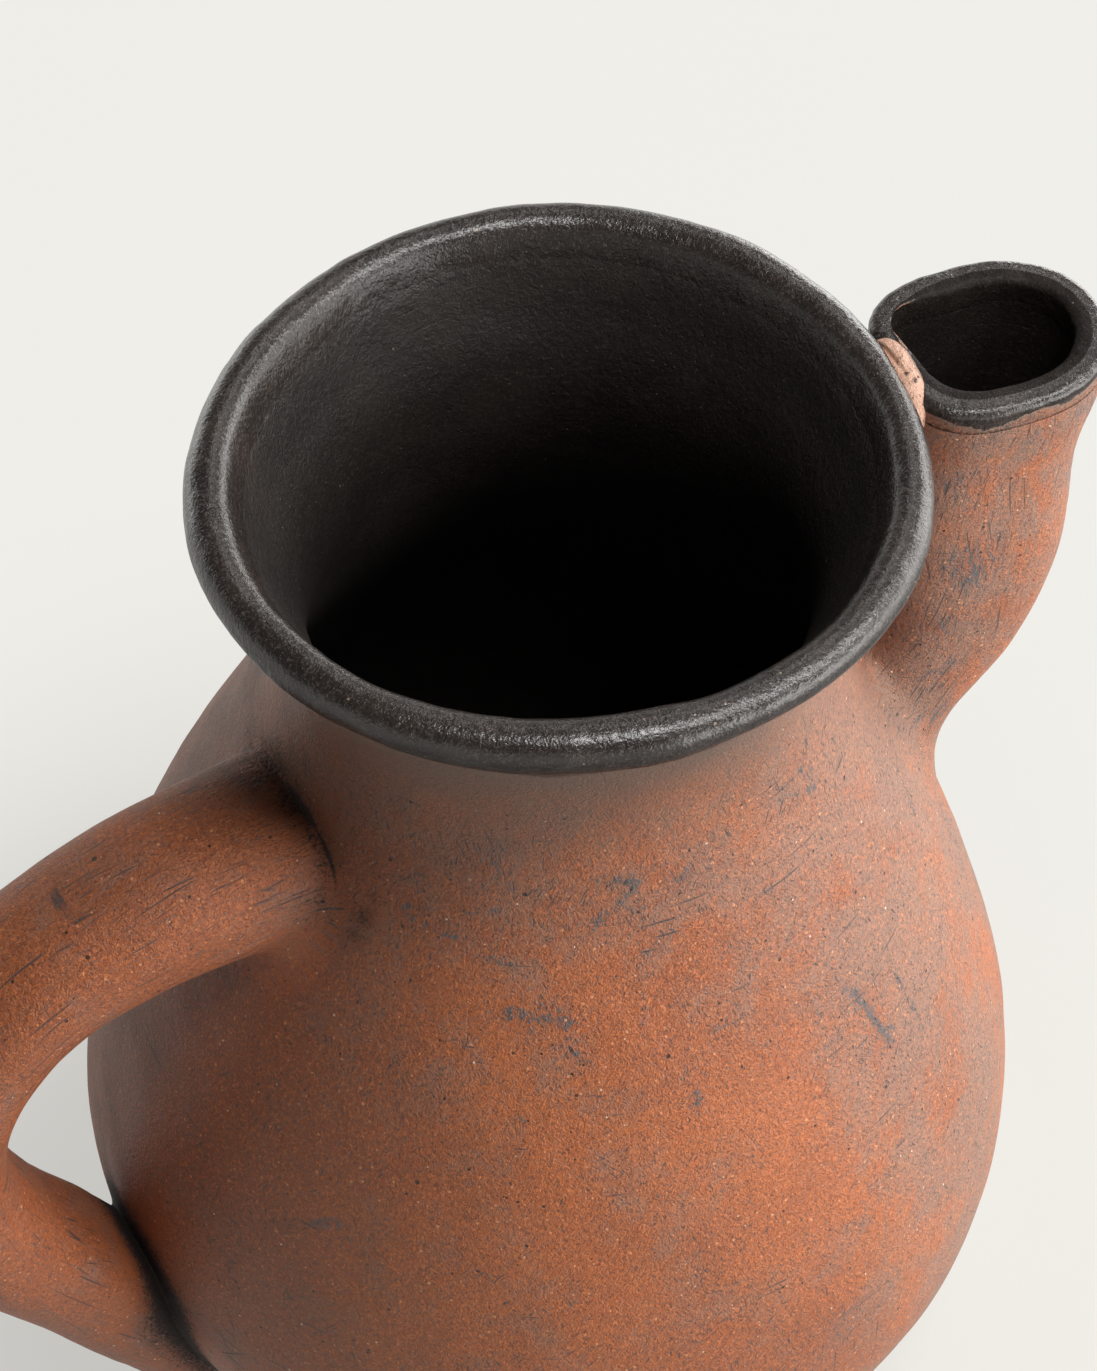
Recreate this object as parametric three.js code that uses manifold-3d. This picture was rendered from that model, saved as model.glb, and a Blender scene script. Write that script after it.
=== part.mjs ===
// A hand-built earthenware jug with an upright spout beside its mouth and a thick loop handle.
// It is made as the potter makes it: a foot slab, four rounds of coiled wall, a neck collar and a rim coil.
// The spout, its lip, the bridge to the rim, the handle and the clay pressed round each root are luted on.
// Millimetres, +Z up, origin at the centre of the foot. The spout points along +X and the handle near -X.

import * as THREE from "three";
import { mergeVertices } from "three/addons/utils/BufferGeometryUtils.js";
import Module from "manifold-3d";

const wasm = await Module();
wasm.setup();

// Vessel: outside radii and the heights at which they lie
const footRadius = 58;
const bellyRadius = 103;
const bellyHeight = 80;
const bellyFullness = 1.98;
const shoulderRadius = 87.5;
const shoulderHeight = 148.5;
const shoulderSlope = -0.374;
const neckRadius = 55.7;
const neckHeight = 238;
const rimRadius = 70;
const rimHeight = 274;
const rimFlare = 0.9;

// Clay thicknesses, and the slip that fills each joint
const wallThickness = 6.8;
const rimWallThickness = 4.9;
const slabThickness = 10;
const slabEdgeRadius = 3.5;
const floorDish = 2;
const rimCoilRadius = 4.5;
const rimSeatDrop = 2.7;
const rimSeatInset = 1.4;
const slipGap = 0.3;

// Joints between the rounds of wall, measured from the belly, the shoulder and the neck
const bowlJointBelowBelly = 18;
const bellyJointAboveBelly = 20;
const haunchJointBelowShoulder = 12.5;
const collarJointBelowNeck = 22;

// Spout: the upright stretch is placed from the rim, and the root from the wall at the shoulder
const spoutWall = 5;
const spoutBeyondRim = 21.5;
const spoutBelowRim = 74;
const spoutMouthHalfLength = 21.3;
const spoutMouthHalfWidth = 18.3;
const spoutRootInsideWall = 27;
const spoutRootAboveShoulder = 33.5;
const spoutRootHalfLength = 18;
const spoutRootHalfWidth = 18.8;
// Each station is a share of those sizes, from the mouth down
const spoutUpright = [
  { out: 1, down: 0.081, long: 1, wide: 1 },
  { out: 0.926, down: 0.378, long: 0.967, wide: 0.978 },
  { out: 0.93, down: 0.703, long: 1, wide: 1.022 },
  { out: 0.786, down: 1, long: 0.901, wide: 0.967 },
];
const spoutRoot = [
  { inward: -0.156, up: 1, long: 0.961, wide: 0.904 },
  { inward: 0.407, up: 0.582, long: 1, wide: 0.979 },
  { inward: 1, up: 0.284, long: 1, wide: 1 },
];
const spoutJugSideSquareness = 2.9;
const spoutFarSideSquareness = 2.15;

// Lip coiled on the spout's mouth
const lipHeight = 6;
const lipTopAboveRim = 1.2;
const lipOverhang = 1.5;
const lipEdgeRadius = 1.6;

// Bridge between the rim and the spout's lip
const bridgeLength = 25;
const bridgeWidth = 12.5;
const bridgeHeight = 22;
const bridgeBeyondRim = 1.5;
const bridgeAside = -4.5;
const bridgeTopAboveRim = 4.6;
const bridgeSquareness = 2.5;

// Handle: its centreline is placed from the wall at each height
const handleTurn = THREE.MathUtils.degToRad(186);
const handleReach = 57;
const handleUpperRootHeight = 199;
const handleLowerRootHeight = 42;
const handleHalfThickness = 14;
const handleHalfWidth = 16.2;
// Each station is a share of the reach, of the rise between the roots and of the half sizes, from the top
const handleShares = [
  { out: -0.351, rise: 1, thick: 1.214, wide: 1.204 },
  { out: -0.018, rise: 1.003, thick: 1.179, wide: 1.173 },
  { out: 0.509, rise: 1, thick: 1.071, wide: 1.086 },
  { out: 0.86, rise: 0.943, thick: 1, wide: 1.037 },
  { out: 1, rise: 0.828, thick: 1, wide: 1.012 },
  { out: 0.93, rise: 0.65, thick: 1, wide: 1 },
  { out: 0.596, rise: 0.439, thick: 0.957, wide: 1 },
  { out: 0.272, rise: 0.264, thick: 0.929, wide: 1.025 },
  { out: 0.102, rise: 0.127, thick: 0.914, wide: 1.062 },
  { out: -0.018, rise: 0, thick: 0.929, wide: 1.086 },
  { out: -0.351, rise: -0.096, thick: 0.857, wide: 0.988 },
];
const handleSquareness = 2.25;

// Clay pressed into the corner round each root
const handleFillet = 9;
const spoutFillet = 9;
const filletEdge = 0.9;
const filletHollow = 0.26;
const filletRootDepth = 3;

// How far the hand leaves the mouth out of round, and where the high places lie
const ovalSwing = 0.65;
const ovalTurn = THREE.MathUtils.degToRad(49);
const threeLobeSwing = 0.6;
const threeLobeTurn = THREE.MathUtils.degToRad(136);

// Facets
const turns = 48;
const ringStep = 11;
const coilSides = 10;
const sectionSides = 24;
const stepsPerStation = 3;
const lipSides = 36;
const bevelSteps = 2;
const bridgeRows = 7;
const bridgeSides = 16;
const bridgePoleTurn = THREE.MathUtils.degToRad(160);
const rootSearchStep = 0.02;
const upAxis = new THREE.Vector3(0, 0, 1);
const sectionTurns = Array.from({ length: sectionSides }, (_, i) => (2 * Math.PI * i) / sectionSides);

// Vessel profile
function hermite(low, high, height) {
  const span = high.height - low.height;
  const t = (height - low.height) / span;
  const rise = t * t * (3 - 2 * t);
  const lean = span * (low.slope * t * (1 - t) ** 2 + high.slope * t * t * (t - 1));
  return low.radius * (1 - rise) + high.radius * rise + lean;
}
const belly = { height: bellyHeight, radius: bellyRadius, slope: 0 };
const shoulder = { height: shoulderHeight, radius: shoulderRadius, slope: shoulderSlope };
const neck = { height: neckHeight, radius: neckRadius, slope: 0 };
const rimSeat = { height: rimHeight - rimSeatDrop, radius: rimRadius - rimSeatInset, slope: rimFlare };
const footShare = (1 - (footRadius / bellyRadius) ** bellyFullness) ** (1 / bellyFullness);
const bowlDepth = bellyHeight / footShare;

function outerRadius(height) {
  if (height <= belly.height) {
    const share = Math.min(1, (belly.height - height) / bowlDepth);
    return bellyRadius * (1 - share ** bellyFullness) ** (1 / bellyFullness);
  }
  if (height <= shoulder.height) return hermite(belly, shoulder, height);
  if (height <= neck.height) return hermite(shoulder, neck, height);
  return hermite(neck, rimSeat, height);
}
function outerSlope(height) {
  const step = 0.05;
  return (outerRadius(height + step) - outerRadius(height - step)) / (2 * step);
}
function wallAt(height) {
  const share = THREE.MathUtils.smoothstep(height, neck.height, rimSeat.height);
  return THREE.MathUtils.lerp(wallThickness, rimWallThickness, share);
}
// Radius of the surface that lies a distance outside the wall, or inside it where the distance is negative
function offsetRadius(height, distance) {
  return outerRadius(height) + distance * Math.hypot(1, outerSlope(height));
}
function heightsBetween(low, high) {
  const count = Math.max(1, Math.round((high - low) / ringStep));
  return Array.from({ length: count + 1 }, (_, i) => low + ((high - low) * i) / count);
}

// Closed meshes and solids
function solidOf(geometry) {
  const bare = geometry.clone();
  bare.deleteAttribute("normal");
  bare.deleteAttribute("uv");
  const merged = mergeVertices(bare, 1e-4);
  const corners = merged.index.array;
  const triangles = [];
  for (let i = 0; i < corners.length; i += 3) {
    const [a, b, c] = [corners[i], corners[i + 1], corners[i + 2]];
    if (a !== b && b !== c && c !== a) triangles.push(a, b, c);
  }
  const points = merged.attributes.position.array;
  if (signedVolume(points, triangles) < 0) triangles.reverse();
  const mesh = new wasm.Mesh({
    numProp: 3,
    vertProperties: Float32Array.from(points),
    triVerts: Uint32Array.from(triangles),
  });
  return new wasm.Manifold(mesh);
}
function signedVolume(points, triangles) {
  const corner = (k) => new THREE.Vector3().fromArray(points, 3 * triangles[k]);
  let volume = 0;
  for (let i = 0; i < triangles.length; i += 3) {
    volume += corner(i).dot(corner(i + 1).cross(corner(i + 2))) / 6;
  }
  return volume;
}
// Skin over a row of rings with equal counts; the row closes on itself, or its ends are capped
function loft(rings, closesOnItself = false) {
  const sides = rings[0].length;
  const points = rings.flat();
  const index = [];
  const rows = closesOnItself ? rings.length : rings.length - 1;
  for (let row = 0; row < rows; row++) {
    const next = (row + 1) % rings.length;
    for (let side = 0; side < sides; side++) {
      const beside = (side + 1) % sides;
      const [a, b] = [row * sides + side, row * sides + beside];
      const [c, d] = [next * sides + side, next * sides + beside];
      index.push(a, c, b, b, c, d);
    }
  }
  if (!closesOnItself) {
    for (const [row, flip] of [[0, false], [rings.length - 1, true]]) {
      const centre = points.length;
      const middle = new THREE.Vector3();
      for (const point of rings[row]) middle.addScaledVector(point, 1 / sides);
      points.push(middle);
      for (let side = 0; side < sides; side++) {
        const a = row * sides + side;
        const b = row * sides + ((side + 1) % sides);
        index.push(centre, ...(flip ? [b, a] : [a, b]));
      }
    }
  }
  const geometry = new THREE.BufferGeometry().setFromPoints(points);
  geometry.setIndex(index);
  return solidOf(geometry);
}
function revolve(profile) {
  const closed = profile[0].x > 0;
  const outline = closed ? [...profile, profile[0]] : profile;
  return solidOf(new THREE.LatheGeometry(outline, turns).rotateX(Math.PI / 2));
}
const at = (radius, height) => new THREE.Vector2(radius, height);

// Walls
const seat = slipGap / 2;
const slabTop = slabThickness;
const bowlTop = bellyHeight - bowlJointBelowBelly;
const bellyTop = bellyHeight + bellyJointAboveBelly;
const haunchTop = shoulderHeight - haunchJointBelowShoulder;
const shoulderTop = neckHeight - collarJointBelowNeck;

function wallRound(low, high) {
  const heights = heightsBetween(low + seat, high - seat);
  const outside = heights.map((z) => at(outerRadius(z), z));
  const inside = heights.map((z) => at(offsetRadius(z, -wallAt(z)), z));
  return revolve([...outside, ...inside.reverse()]);
}
function slab() {
  const top = slabTop - seat;
  const edge = [];
  for (let i = 0; i <= bevelSteps; i++) {
    const turn = (i / bevelSteps) * (Math.PI / 2);
    const drop = slabEdgeRadius * (1 - Math.sin(turn));
    edge.push(at(outerRadius(slabEdgeRadius) - drop, slabEdgeRadius * (1 - Math.cos(turn))));
  }
  const outside = heightsBetween(slabEdgeRadius, top).slice(1).map((z) => at(outerRadius(z), z));
  const rimOfFloor = offsetRadius(slabTop, -wallThickness);
  const floor = [at(rimOfFloor, top), at(rimOfFloor / 2, top - floorDish), at(0, top - floorDish)];
  return revolve([at(0, 0), ...edge, ...outside, ...floor]);
}
// The outside of the whole vessel, grown by a distance, to cut what is pressed on it
function vesselGrown(distance) {
  const joints = [slabTop, bowlTop, bellyTop, haunchTop, shoulderTop, rimSeat.height];
  const profile = [at(0, -slabThickness), at(offsetRadius(0, distance), -slabThickness)];
  let low = 0;
  for (const high of joints) {
    for (const z of heightsBetween(low + seat, high - seat)) profile.push(at(offsetRadius(z, distance), z));
    low = high;
  }
  profile.push(at(0, rimSeat.height - seat));
  return revolve(profile);
}

// Rim coil: a round coil with a flat seat on the top of the wall
function rimCoil(grow = 0) {
  const centre = at(rimRadius - rimCoilRadius, rimHeight);
  const seatTurn = Math.asin((rimSeatDrop - seat) / rimCoilRadius);
  const profile = [];
  for (let i = 0; i <= coilSides; i++) {
    const turn = -seatTurn + (i / coilSides) * (Math.PI + 2 * seatTurn);
    const reach = rimCoilRadius + grow;
    profile.push(at(centre.x + reach * Math.cos(turn), centre.y + reach * Math.sin(turn)));
  }
  return revolve(profile);
}

// Pieces that follow a centreline in an upright plane through the jug's axis
function superellipse(turn, halfLong, halfWide, squareness) {
  const bend = (value) => Math.sign(value) * Math.abs(value) ** (2 / squareness);
  return [halfLong * bend(Math.cos(turn)), halfWide * bend(Math.sin(turn))];
}
function sweepAlong(stations, plane, squarenessAt) {
  const path = new THREE.CatmullRomCurve3(stations.map((s) => new THREE.Vector3(s.reach, 0, s.height)));
  const sizes = new THREE.CatmullRomCurve3(stations.map((s) => new THREE.Vector3(s.inPlane, s.across, 0)));
  const steps = (stations.length - 1) * stepsPerStation;
  const surface = (t, turn, grow = 0) => {
    const centre = path.getPoint(t);
    const along = path.getTangent(t);
    const size = sizes.getPoint(t);
    const [out, side] = superellipse(turn, size.x + grow, size.y + grow, squarenessAt(turn));
    const point = new THREE.Vector3(centre.x - out * along.z, side, centre.z + out * along.x);
    return point.applyAxisAngle(upAxis, plane);
  };
  const ring = (t, grow) => sectionTurns.map((turn) => surface(t, turn, grow));
  const solid = (grow = 0) => loft(Array.from({ length: steps + 1 }, (_, i) => ring(i / steps, grow)));
  return { surface, solid };
}

// Clay round a root: a ring of hollow-faced section in the corner between the wall and what leaves it
function rootFillet(sweep, width, fromEnd) {
  const along = (t) => (fromEnd ? 1 - t : t);
  const offWall = (t, turn) => {
    const point = sweep.surface(along(t), turn);
    return Math.hypot(point.x, point.y) - outerRadius(point.z);
  };
  const rings = sectionTurns.map((turn) => {
    let outside = rootSearchStep;
    while (offWall(outside, turn) < 0) outside += rootSearchStep;
    let inside = outside - rootSearchStep;
    for (let halving = 0; halving < 20; halving++) {
      const middle = (inside + outside) / 2;
      if (offWall(middle, turn) < 0) inside = middle;
      else outside = middle;
    }
    const root = sweep.surface(along(outside), turn);
    const up = sweep.surface(along(outside + rootSearchStep / 2), turn).sub(root).normalize();
    const off = sweep.surface(along(outside), turn, 1).sub(root).normalize();
    const wall = new THREE.Vector3(root.x, root.y, 0).normalize().setZ(-outerSlope(root.z)).normalize();
    const away = off.clone().addScaledVector(wall, -off.dot(wall)).normalize();
    const moved = (...moves) => {
      const point = root.clone();
      for (const [direction, distance] of moves) point.addScaledVector(direction, distance);
      return point;
    };
    const lowFoot = moved([away, width]);
    const scale = offsetRadius(lowFoot.z, filletEdge) / Math.hypot(lowFoot.x, lowFoot.y);
    lowFoot.multiply(new THREE.Vector3(scale, scale, 1));
    const highFoot = moved([up, width], [off, filletEdge]);
    const hollow = moved([away, width * filletHollow], [up, width * filletHollow], [wall, filletEdge]);
    return [
      lowFoot,
      lowFoot.clone().lerp(hollow, 0.6),
      hollow.clone().lerp(highFoot, 0.4),
      highFoot,
      highFoot.clone().addScaledVector(off, -filletRootDepth),
      moved([wall, -filletRootDepth], [off, -filletRootDepth]),
      lowFoot.clone().addScaledVector(wall, -filletRootDepth),
    ];
  });
  return loft(rings, true);
}

// Spout
const lipTop = rimHeight + lipTopAboveRim;
const lipSeat = lipTop - lipHeight;
const upright = spoutUpright.map((s) => ({
  reach: rimRadius + s.out * spoutBeyondRim,
  height: rimHeight - s.down * spoutBelowRim,
  inPlane: s.long * spoutMouthHalfLength,
  across: s.wide * spoutMouthHalfWidth,
}));
const root = spoutRoot.map((s) => {
  const height = shoulderHeight + s.up * spoutRootAboveShoulder;
  return {
    reach: outerRadius(height) - s.inward * spoutRootInsideWall,
    height,
    inPlane: s.long * spoutRootHalfLength,
    across: s.wide * spoutRootHalfWidth,
  };
});
const mouth = upright[0];
const aboveMouth = { ...mouth, height: mouth.height + 2 * lipHeight };
const spoutSquareness = (turn) => (Math.cos(turn) < 0 ? spoutJugSideSquareness : spoutFarSideSquareness);
const spoutSweep = sweepAlong([aboveMouth, ...upright, ...root], 0, spoutSquareness);

function layer(low, high) {
  const size = 4 * (bellyRadius + rimRadius);
  return solidOf(new THREE.BoxGeometry(size, size, high - low).translate(0, 0, (low + high) / 2));
}
// A flat-topped ring with rounded edges that follows the mouth's outline
function lipRing() {
  const corner = (n, z, fromTurn) =>
    Array.from({ length: bevelSteps + 1 }, (_, i) => {
      const turn = fromTurn + ((i / bevelSteps) * Math.PI) / 2;
      return [n + lipEdgeRadius * Math.cos(turn), z + lipEdgeRadius * Math.sin(turn)];
    });
  const section = [
    [-spoutWall, lipSeat + seat],
    ...corner(lipOverhang - lipEdgeRadius, lipSeat + seat + lipEdgeRadius, -Math.PI / 2),
    ...corner(lipOverhang - lipEdgeRadius, lipTop - lipEdgeRadius, 0),
    ...corner(-spoutWall + lipEdgeRadius, lipTop - lipEdgeRadius, Math.PI / 2),
  ];
  const rings = Array.from({ length: lipSides }, (_, i) => {
    const turn = (2 * Math.PI * i) / lipSides;
    return section.map(([grow, z]) => {
      const [x, y] = superellipse(turn, mouth.inPlane + grow, mouth.across + grow, spoutSquareness(turn));
      return new THREE.Vector3(mouth.reach + x, y, z);
    });
  });
  return loft(rings, true);
}

// Bridge: a thumbed lump of clay
function bridgeLump(grow = 0) {
  const centre = new THREE.Vector3(
    rimRadius + bridgeBeyondRim,
    bridgeAside,
    rimHeight + bridgeTopAboveRim - bridgeHeight / 2,
  );
  const rows = Array.from({ length: bridgeRows + 1 }, (_, row) => {
    const rise = (row / bridgeRows - 0.5) * bridgePoleTurn;
    const [spread, lift] = superellipse(rise, 1, bridgeHeight / 2 + grow, bridgeSquareness);
    return Array.from({ length: bridgeSides }, (_, side) => {
      const turn = (2 * Math.PI * side) / bridgeSides;
      const wide = (bridgeWidth / 2 + grow) * spread;
      const long = (bridgeLength / 2 + grow) * spread;
      const [x, y] = superellipse(turn, wide, long, bridgeSquareness);
      return new THREE.Vector3(x, y, lift).add(centre);
    });
  });
  return loft(rows);
}

// Assembly, each piece cut back from what it is pressed on
const vessel = vesselGrown(slipGap);
const bore = spoutSweep.solid(-spoutWall);
const belowLip = layer(-slabThickness, lipSeat - seat);
const spoutTube = spoutSweep.solid().intersect(belowLip).subtract(bore).subtract(vessel);
const spoutGrown = spoutSweep.solid(slipGap).intersect(layer(-slabThickness, lipSeat + seat));
const rim = rimCoil();
const rimGrown = rimCoil(slipGap);

const handleStations = handleShares.map((s) => {
  const height = THREE.MathUtils.lerp(handleLowerRootHeight, handleUpperRootHeight, s.rise);
  return {
    reach: outerRadius(height) + s.out * handleReach,
    height,
    inPlane: s.thick * handleHalfThickness,
    across: s.wide * handleHalfWidth,
  };
});
const handleSweep = sweepAlong(handleStations, handleTurn, () => handleSquareness);
const handleGrown = handleSweep.solid(slipGap);
function fillet(sweep, width, fromEnd, grown) {
  return rootFillet(sweep, width, fromEnd).subtract(vessel).subtract(grown);
}

// The hand leaves the jug slightly out of round, more towards the mouth
function handFormed(point) {
  const turn = Math.atan2(point.y, point.x);
  const oval = ovalSwing * Math.sin(2 * turn + ovalTurn);
  const swing = oval + threeLobeSwing * Math.cos(3 * turn + threeLobeTurn);
  const share = THREE.MathUtils.smoothstep(point.z, 0, rimHeight);
  point.x += swing * share * Math.cos(turn);
  point.y += swing * share * Math.sin(turn);
  return point;
}

const clay = { color: 0xa85c3c, roughness: 0.62, metalness: 0 };
const slip = { color: 0x2b2827, roughness: 0.42, metalness: 0 };
const jug = new THREE.Group();

function addPiece(name, solid, finish) {
  const { vertProperties, triVerts } = solid.getMesh();
  const points = new Float32Array(vertProperties);
  for (let i = 0; i < points.length; i += 3) {
    handFormed(new THREE.Vector3().fromArray(points, i)).toArray(points, i);
  }
  const geometry = new THREE.BufferGeometry();
  geometry.setAttribute("position", new THREE.BufferAttribute(points, 3));
  geometry.setIndex([...triVerts]);
  geometry.computeVertexNormals();
  const piece = new THREE.Mesh(geometry, new THREE.MeshStandardMaterial(finish));
  piece.name = name;
  jug.add(piece);
}

addPiece("foot_slab", slab(), clay);
addPiece("wall_bowl", wallRound(slabTop, bowlTop), clay);
addPiece("wall_belly", wallRound(bowlTop, bellyTop), clay);
addPiece("wall_haunch", wallRound(bellyTop, haunchTop).subtract(bore), clay);
addPiece("wall_shoulder", wallRound(haunchTop, shoulderTop).subtract(bore), clay);
addPiece("neck_collar", wallRound(shoulderTop, rimSeat.height).subtract(bore), clay);
addPiece("rim_coil", rim, slip);
addPiece("spout_tube", spoutTube.subtract(rimGrown), clay);
addPiece("spout_root_fillet", fillet(spoutSweep, spoutFillet, true, spoutGrown), clay);
addPiece("spout_lip", lipRing().subtract(rimGrown).subtract(bridgeLump(slipGap)), slip);
addPiece("bridge_lug", bridgeLump().subtract(rimGrown).subtract(vessel).subtract(spoutGrown), clay);
addPiece("handle", handleSweep.solid().subtract(vessel), clay);
addPiece("handle_upper_fillet", fillet(handleSweep, handleFillet, false, handleGrown), clay);
addPiece("handle_lower_fillet", fillet(handleSweep, handleFillet, true, handleGrown), clay);

export default jug;
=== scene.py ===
"""A hand-built earthenware jug: fine meshes and fired-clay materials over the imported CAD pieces."""

import math

import bpy
import numpy as np
from mathutils import Matrix


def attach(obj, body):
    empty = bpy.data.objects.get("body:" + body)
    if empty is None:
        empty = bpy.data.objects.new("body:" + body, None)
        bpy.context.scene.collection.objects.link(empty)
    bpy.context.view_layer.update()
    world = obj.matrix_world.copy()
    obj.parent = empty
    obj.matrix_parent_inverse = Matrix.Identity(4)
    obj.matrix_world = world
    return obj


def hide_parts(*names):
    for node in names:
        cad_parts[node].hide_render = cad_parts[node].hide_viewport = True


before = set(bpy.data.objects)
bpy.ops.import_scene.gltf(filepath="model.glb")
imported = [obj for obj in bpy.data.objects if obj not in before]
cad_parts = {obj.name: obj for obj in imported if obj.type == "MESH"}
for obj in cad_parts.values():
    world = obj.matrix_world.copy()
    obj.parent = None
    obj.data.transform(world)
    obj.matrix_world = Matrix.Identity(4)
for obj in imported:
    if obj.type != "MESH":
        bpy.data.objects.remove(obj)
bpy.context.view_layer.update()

# Sizes of the CAD model, in millimetres
FOOT_RADIUS, BELLY_RADIUS, BELLY_HEIGHT, BELLY_FULLNESS = 58, 103, 80, 1.98
SHOULDER_RADIUS, SHOULDER_HEIGHT, SHOULDER_SLOPE = 87.5, 148.5, -0.374
NECK_RADIUS, NECK_HEIGHT = 55.7, 238
RIM_RADIUS, RIM_HEIGHT, RIM_FLARE = 70, 274, 0.9
WALL, RIM_WALL = 6.8, 4.9
SLAB_TOP, SLAB_EDGE, FLOOR_DISH = 10, 3.5, 2
COIL_RADIUS, SEAT_DROP, SEAT_INSET = 4.5, 2.7, 1.4
BOWL_TOP, BELLY_TOP, HAUNCH_TOP, SHOULDER_TOP = 62, 100, 136, 216
SEAT_HEIGHT = RIM_HEIGHT - SEAT_DROP
SPOUT_WALL, LIP_HEIGHT, LIP_TOP, LIP_OVERHANG = 5, 6, 275.2, 1.5
HANDLE_TURN = math.radians(186)
COLUMNS = 512


def smooth(x, low=0.0, high=1.0):
    t = np.clip((x - low) / (high - low), 0, 1)
    return t * t * (3 - 2 * t)


def unit(v):
    return v / np.maximum(np.linalg.norm(v, axis=-1, keepdims=True), 1e-9)


def grain(points, size, seed=0):
    """Smooth random heights from -1 to 1 in space; size is how far apart the swells lie."""
    q = points / size + seed * 17.31
    cell = np.floor(q).astype(np.int64)
    f = q - cell
    w = f * f * f * (f * (f * 6 - 15) + 10)
    total = 0
    for corner in np.ndindex(2, 2, 2):
        x, y, z = np.moveaxis(cell + corner, -1, 0)
        h = (x * 374761393 + y * 668265263 + z * 1442695041 + seed * 974634777) & 0xFFFFFFFF
        h = ((h ^ (h >> 13)) * 1274126177) & 0xFFFFFFFF
        h = ((h ^ (h >> 16)) & 0xFFFF) / 32767.5 - 1
        share = np.prod(np.where(corner, w, 1 - w), axis=-1)
        total = total + share * h
    return total


# Vessel profile
def hermite(low, high, z):
    span = high[0] - low[0]
    t = (z - low[0]) / span
    rise = t * t * (3 - 2 * t)
    lean = span * (low[2] * t * (1 - t) ** 2 + high[2] * t * t * (t - 1))
    return low[1] * (1 - rise) + high[1] * rise + lean


BELLY = (BELLY_HEIGHT, BELLY_RADIUS, 0)
SHOULDER = (SHOULDER_HEIGHT, SHOULDER_RADIUS, SHOULDER_SLOPE)
NECK = (NECK_HEIGHT, NECK_RADIUS, 0)
SEAT = (SEAT_HEIGHT, RIM_RADIUS - SEAT_INSET, RIM_FLARE)
BOWL_DEPTH = BELLY_HEIGHT / (1 - (FOOT_RADIUS / BELLY_RADIUS) ** BELLY_FULLNESS) ** (1 / BELLY_FULLNESS)


def outer_radius(z):
    z = np.asarray(z, float)
    share = np.clip((BELLY_HEIGHT - z) / BOWL_DEPTH, 0, 0.999)
    bowl = BELLY_RADIUS * (1 - share ** BELLY_FULLNESS) ** (1 / BELLY_FULLNESS)
    upper = np.where(z <= NECK_HEIGHT, hermite(SHOULDER, NECK, z), hermite(NECK, SEAT, z))
    body = np.where(z <= SHOULDER_HEIGHT, hermite(BELLY, SHOULDER, z), upper)
    return np.where(z <= BELLY_HEIGHT, bowl, body)


def outer_slope(z):
    return (outer_radius(z + 0.05) - outer_radius(z - 0.05)) / 0.1


def offset_radius(z, distance):
    return outer_radius(z) + distance * np.hypot(1, outer_slope(z))


def inner_radius(z):
    wall = WALL + (RIM_WALL - WALL) * smooth(z, NECK_HEIGHT, SEAT_HEIGHT)
    return offset_radius(z, -wall)


def spaced(points, step):
    """Points along a path of (radius, height), evenly spaced."""
    points = np.asarray(points, float)
    run = np.concatenate([[0], np.cumsum(np.linalg.norm(np.diff(points, axis=0), axis=1))])
    count = max(2, int(round(run[-1] / step)) + 1)
    at = np.linspace(0, run[-1], count)
    return np.stack([np.interp(at, run, points[:, k]) for k in (0, 1)], axis=1)


def bezier(p0, p1, p2, p3, count):
    t = np.linspace(0, 1, count).reshape((-1,) + (1,) * np.ndim(p0))
    return (1 - t) ** 3 * p0 + 3 * t * (1 - t) ** 2 * p1 + 3 * t * t * (1 - t) * p2 + t ** 3 * p3


# The hand's marks: slow swells all over, smaller lumps on the rim
def hand_marks(points, rim=0.0):
    flat = points.copy()
    flat[..., 2] *= 2.2
    swell = 0.5 * grain(points, 46, 1) + 0.24 * grain(points, 19, 2) + 0.07 * grain(points, 7.5, 3)
    scraped = 0.05 * grain(flat, 8, 4) + 0.022 * grain(points, 2.8, 5)
    lumps = 0.2 * grain(points, 12, 6) + 0.08 * grain(points, 4.2, 7) + 0.03 * grain(points, 1.9, 8)
    return (swell + scraped) * smooth(points[..., 2], 0.3, 9) + rim * lumps


def hand_formed(points):
    x, y, z = np.moveaxis(points, -1, 0)
    turn = np.arctan2(y, x)
    swing = 0.65 * np.sin(2 * turn + math.radians(49)) + 0.6 * np.cos(3 * turn + math.radians(136))
    push = swing * smooth(z, 0, RIM_HEIGHT)
    return np.stack([x + push * np.cos(turn), y + push * np.sin(turn), z], axis=-1)


def grid_normals(grid, closed_rows=False):
    """Outward normals of a grid whose columns close on themselves."""
    across = np.roll(grid, -1, axis=1) - np.roll(grid, 1, axis=1)
    if closed_rows:
        along = np.roll(grid, -1, axis=0) - np.roll(grid, 1, axis=0)
    else:
        along = np.gradient(grid, axis=0)
    return unit(np.cross(across, along))


# Mesh pieces
def piece(name, points, faces, normals, layers, material, nodes):
    mesh = bpy.data.meshes.new(name)
    mesh.from_pydata((np.asarray(points) * 0.001).tolist(), [], faces)
    mesh.validate()
    for face in mesh.polygons:
        face.use_smooth = True
    for label, values in layers.items():
        values = np.asarray(values, np.float32)
        kind = "FLOAT_VECTOR" if values.ndim == 2 else "FLOAT"
        layer = mesh.attributes.new(label, kind, "POINT")
        layer.data.foreach_set("vector" if kind == "FLOAT_VECTOR" else "value", values.ravel())
    if normals is not None:
        mesh.normals_split_custom_set_from_vertices(np.asarray(normals).tolist())
    mesh.materials.append(material)
    ob = bpy.data.objects.new(name, mesh)
    bpy.context.scene.collection.objects.link(ob)
    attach(ob, "root")
    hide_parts(*nodes)
    return ob


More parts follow.
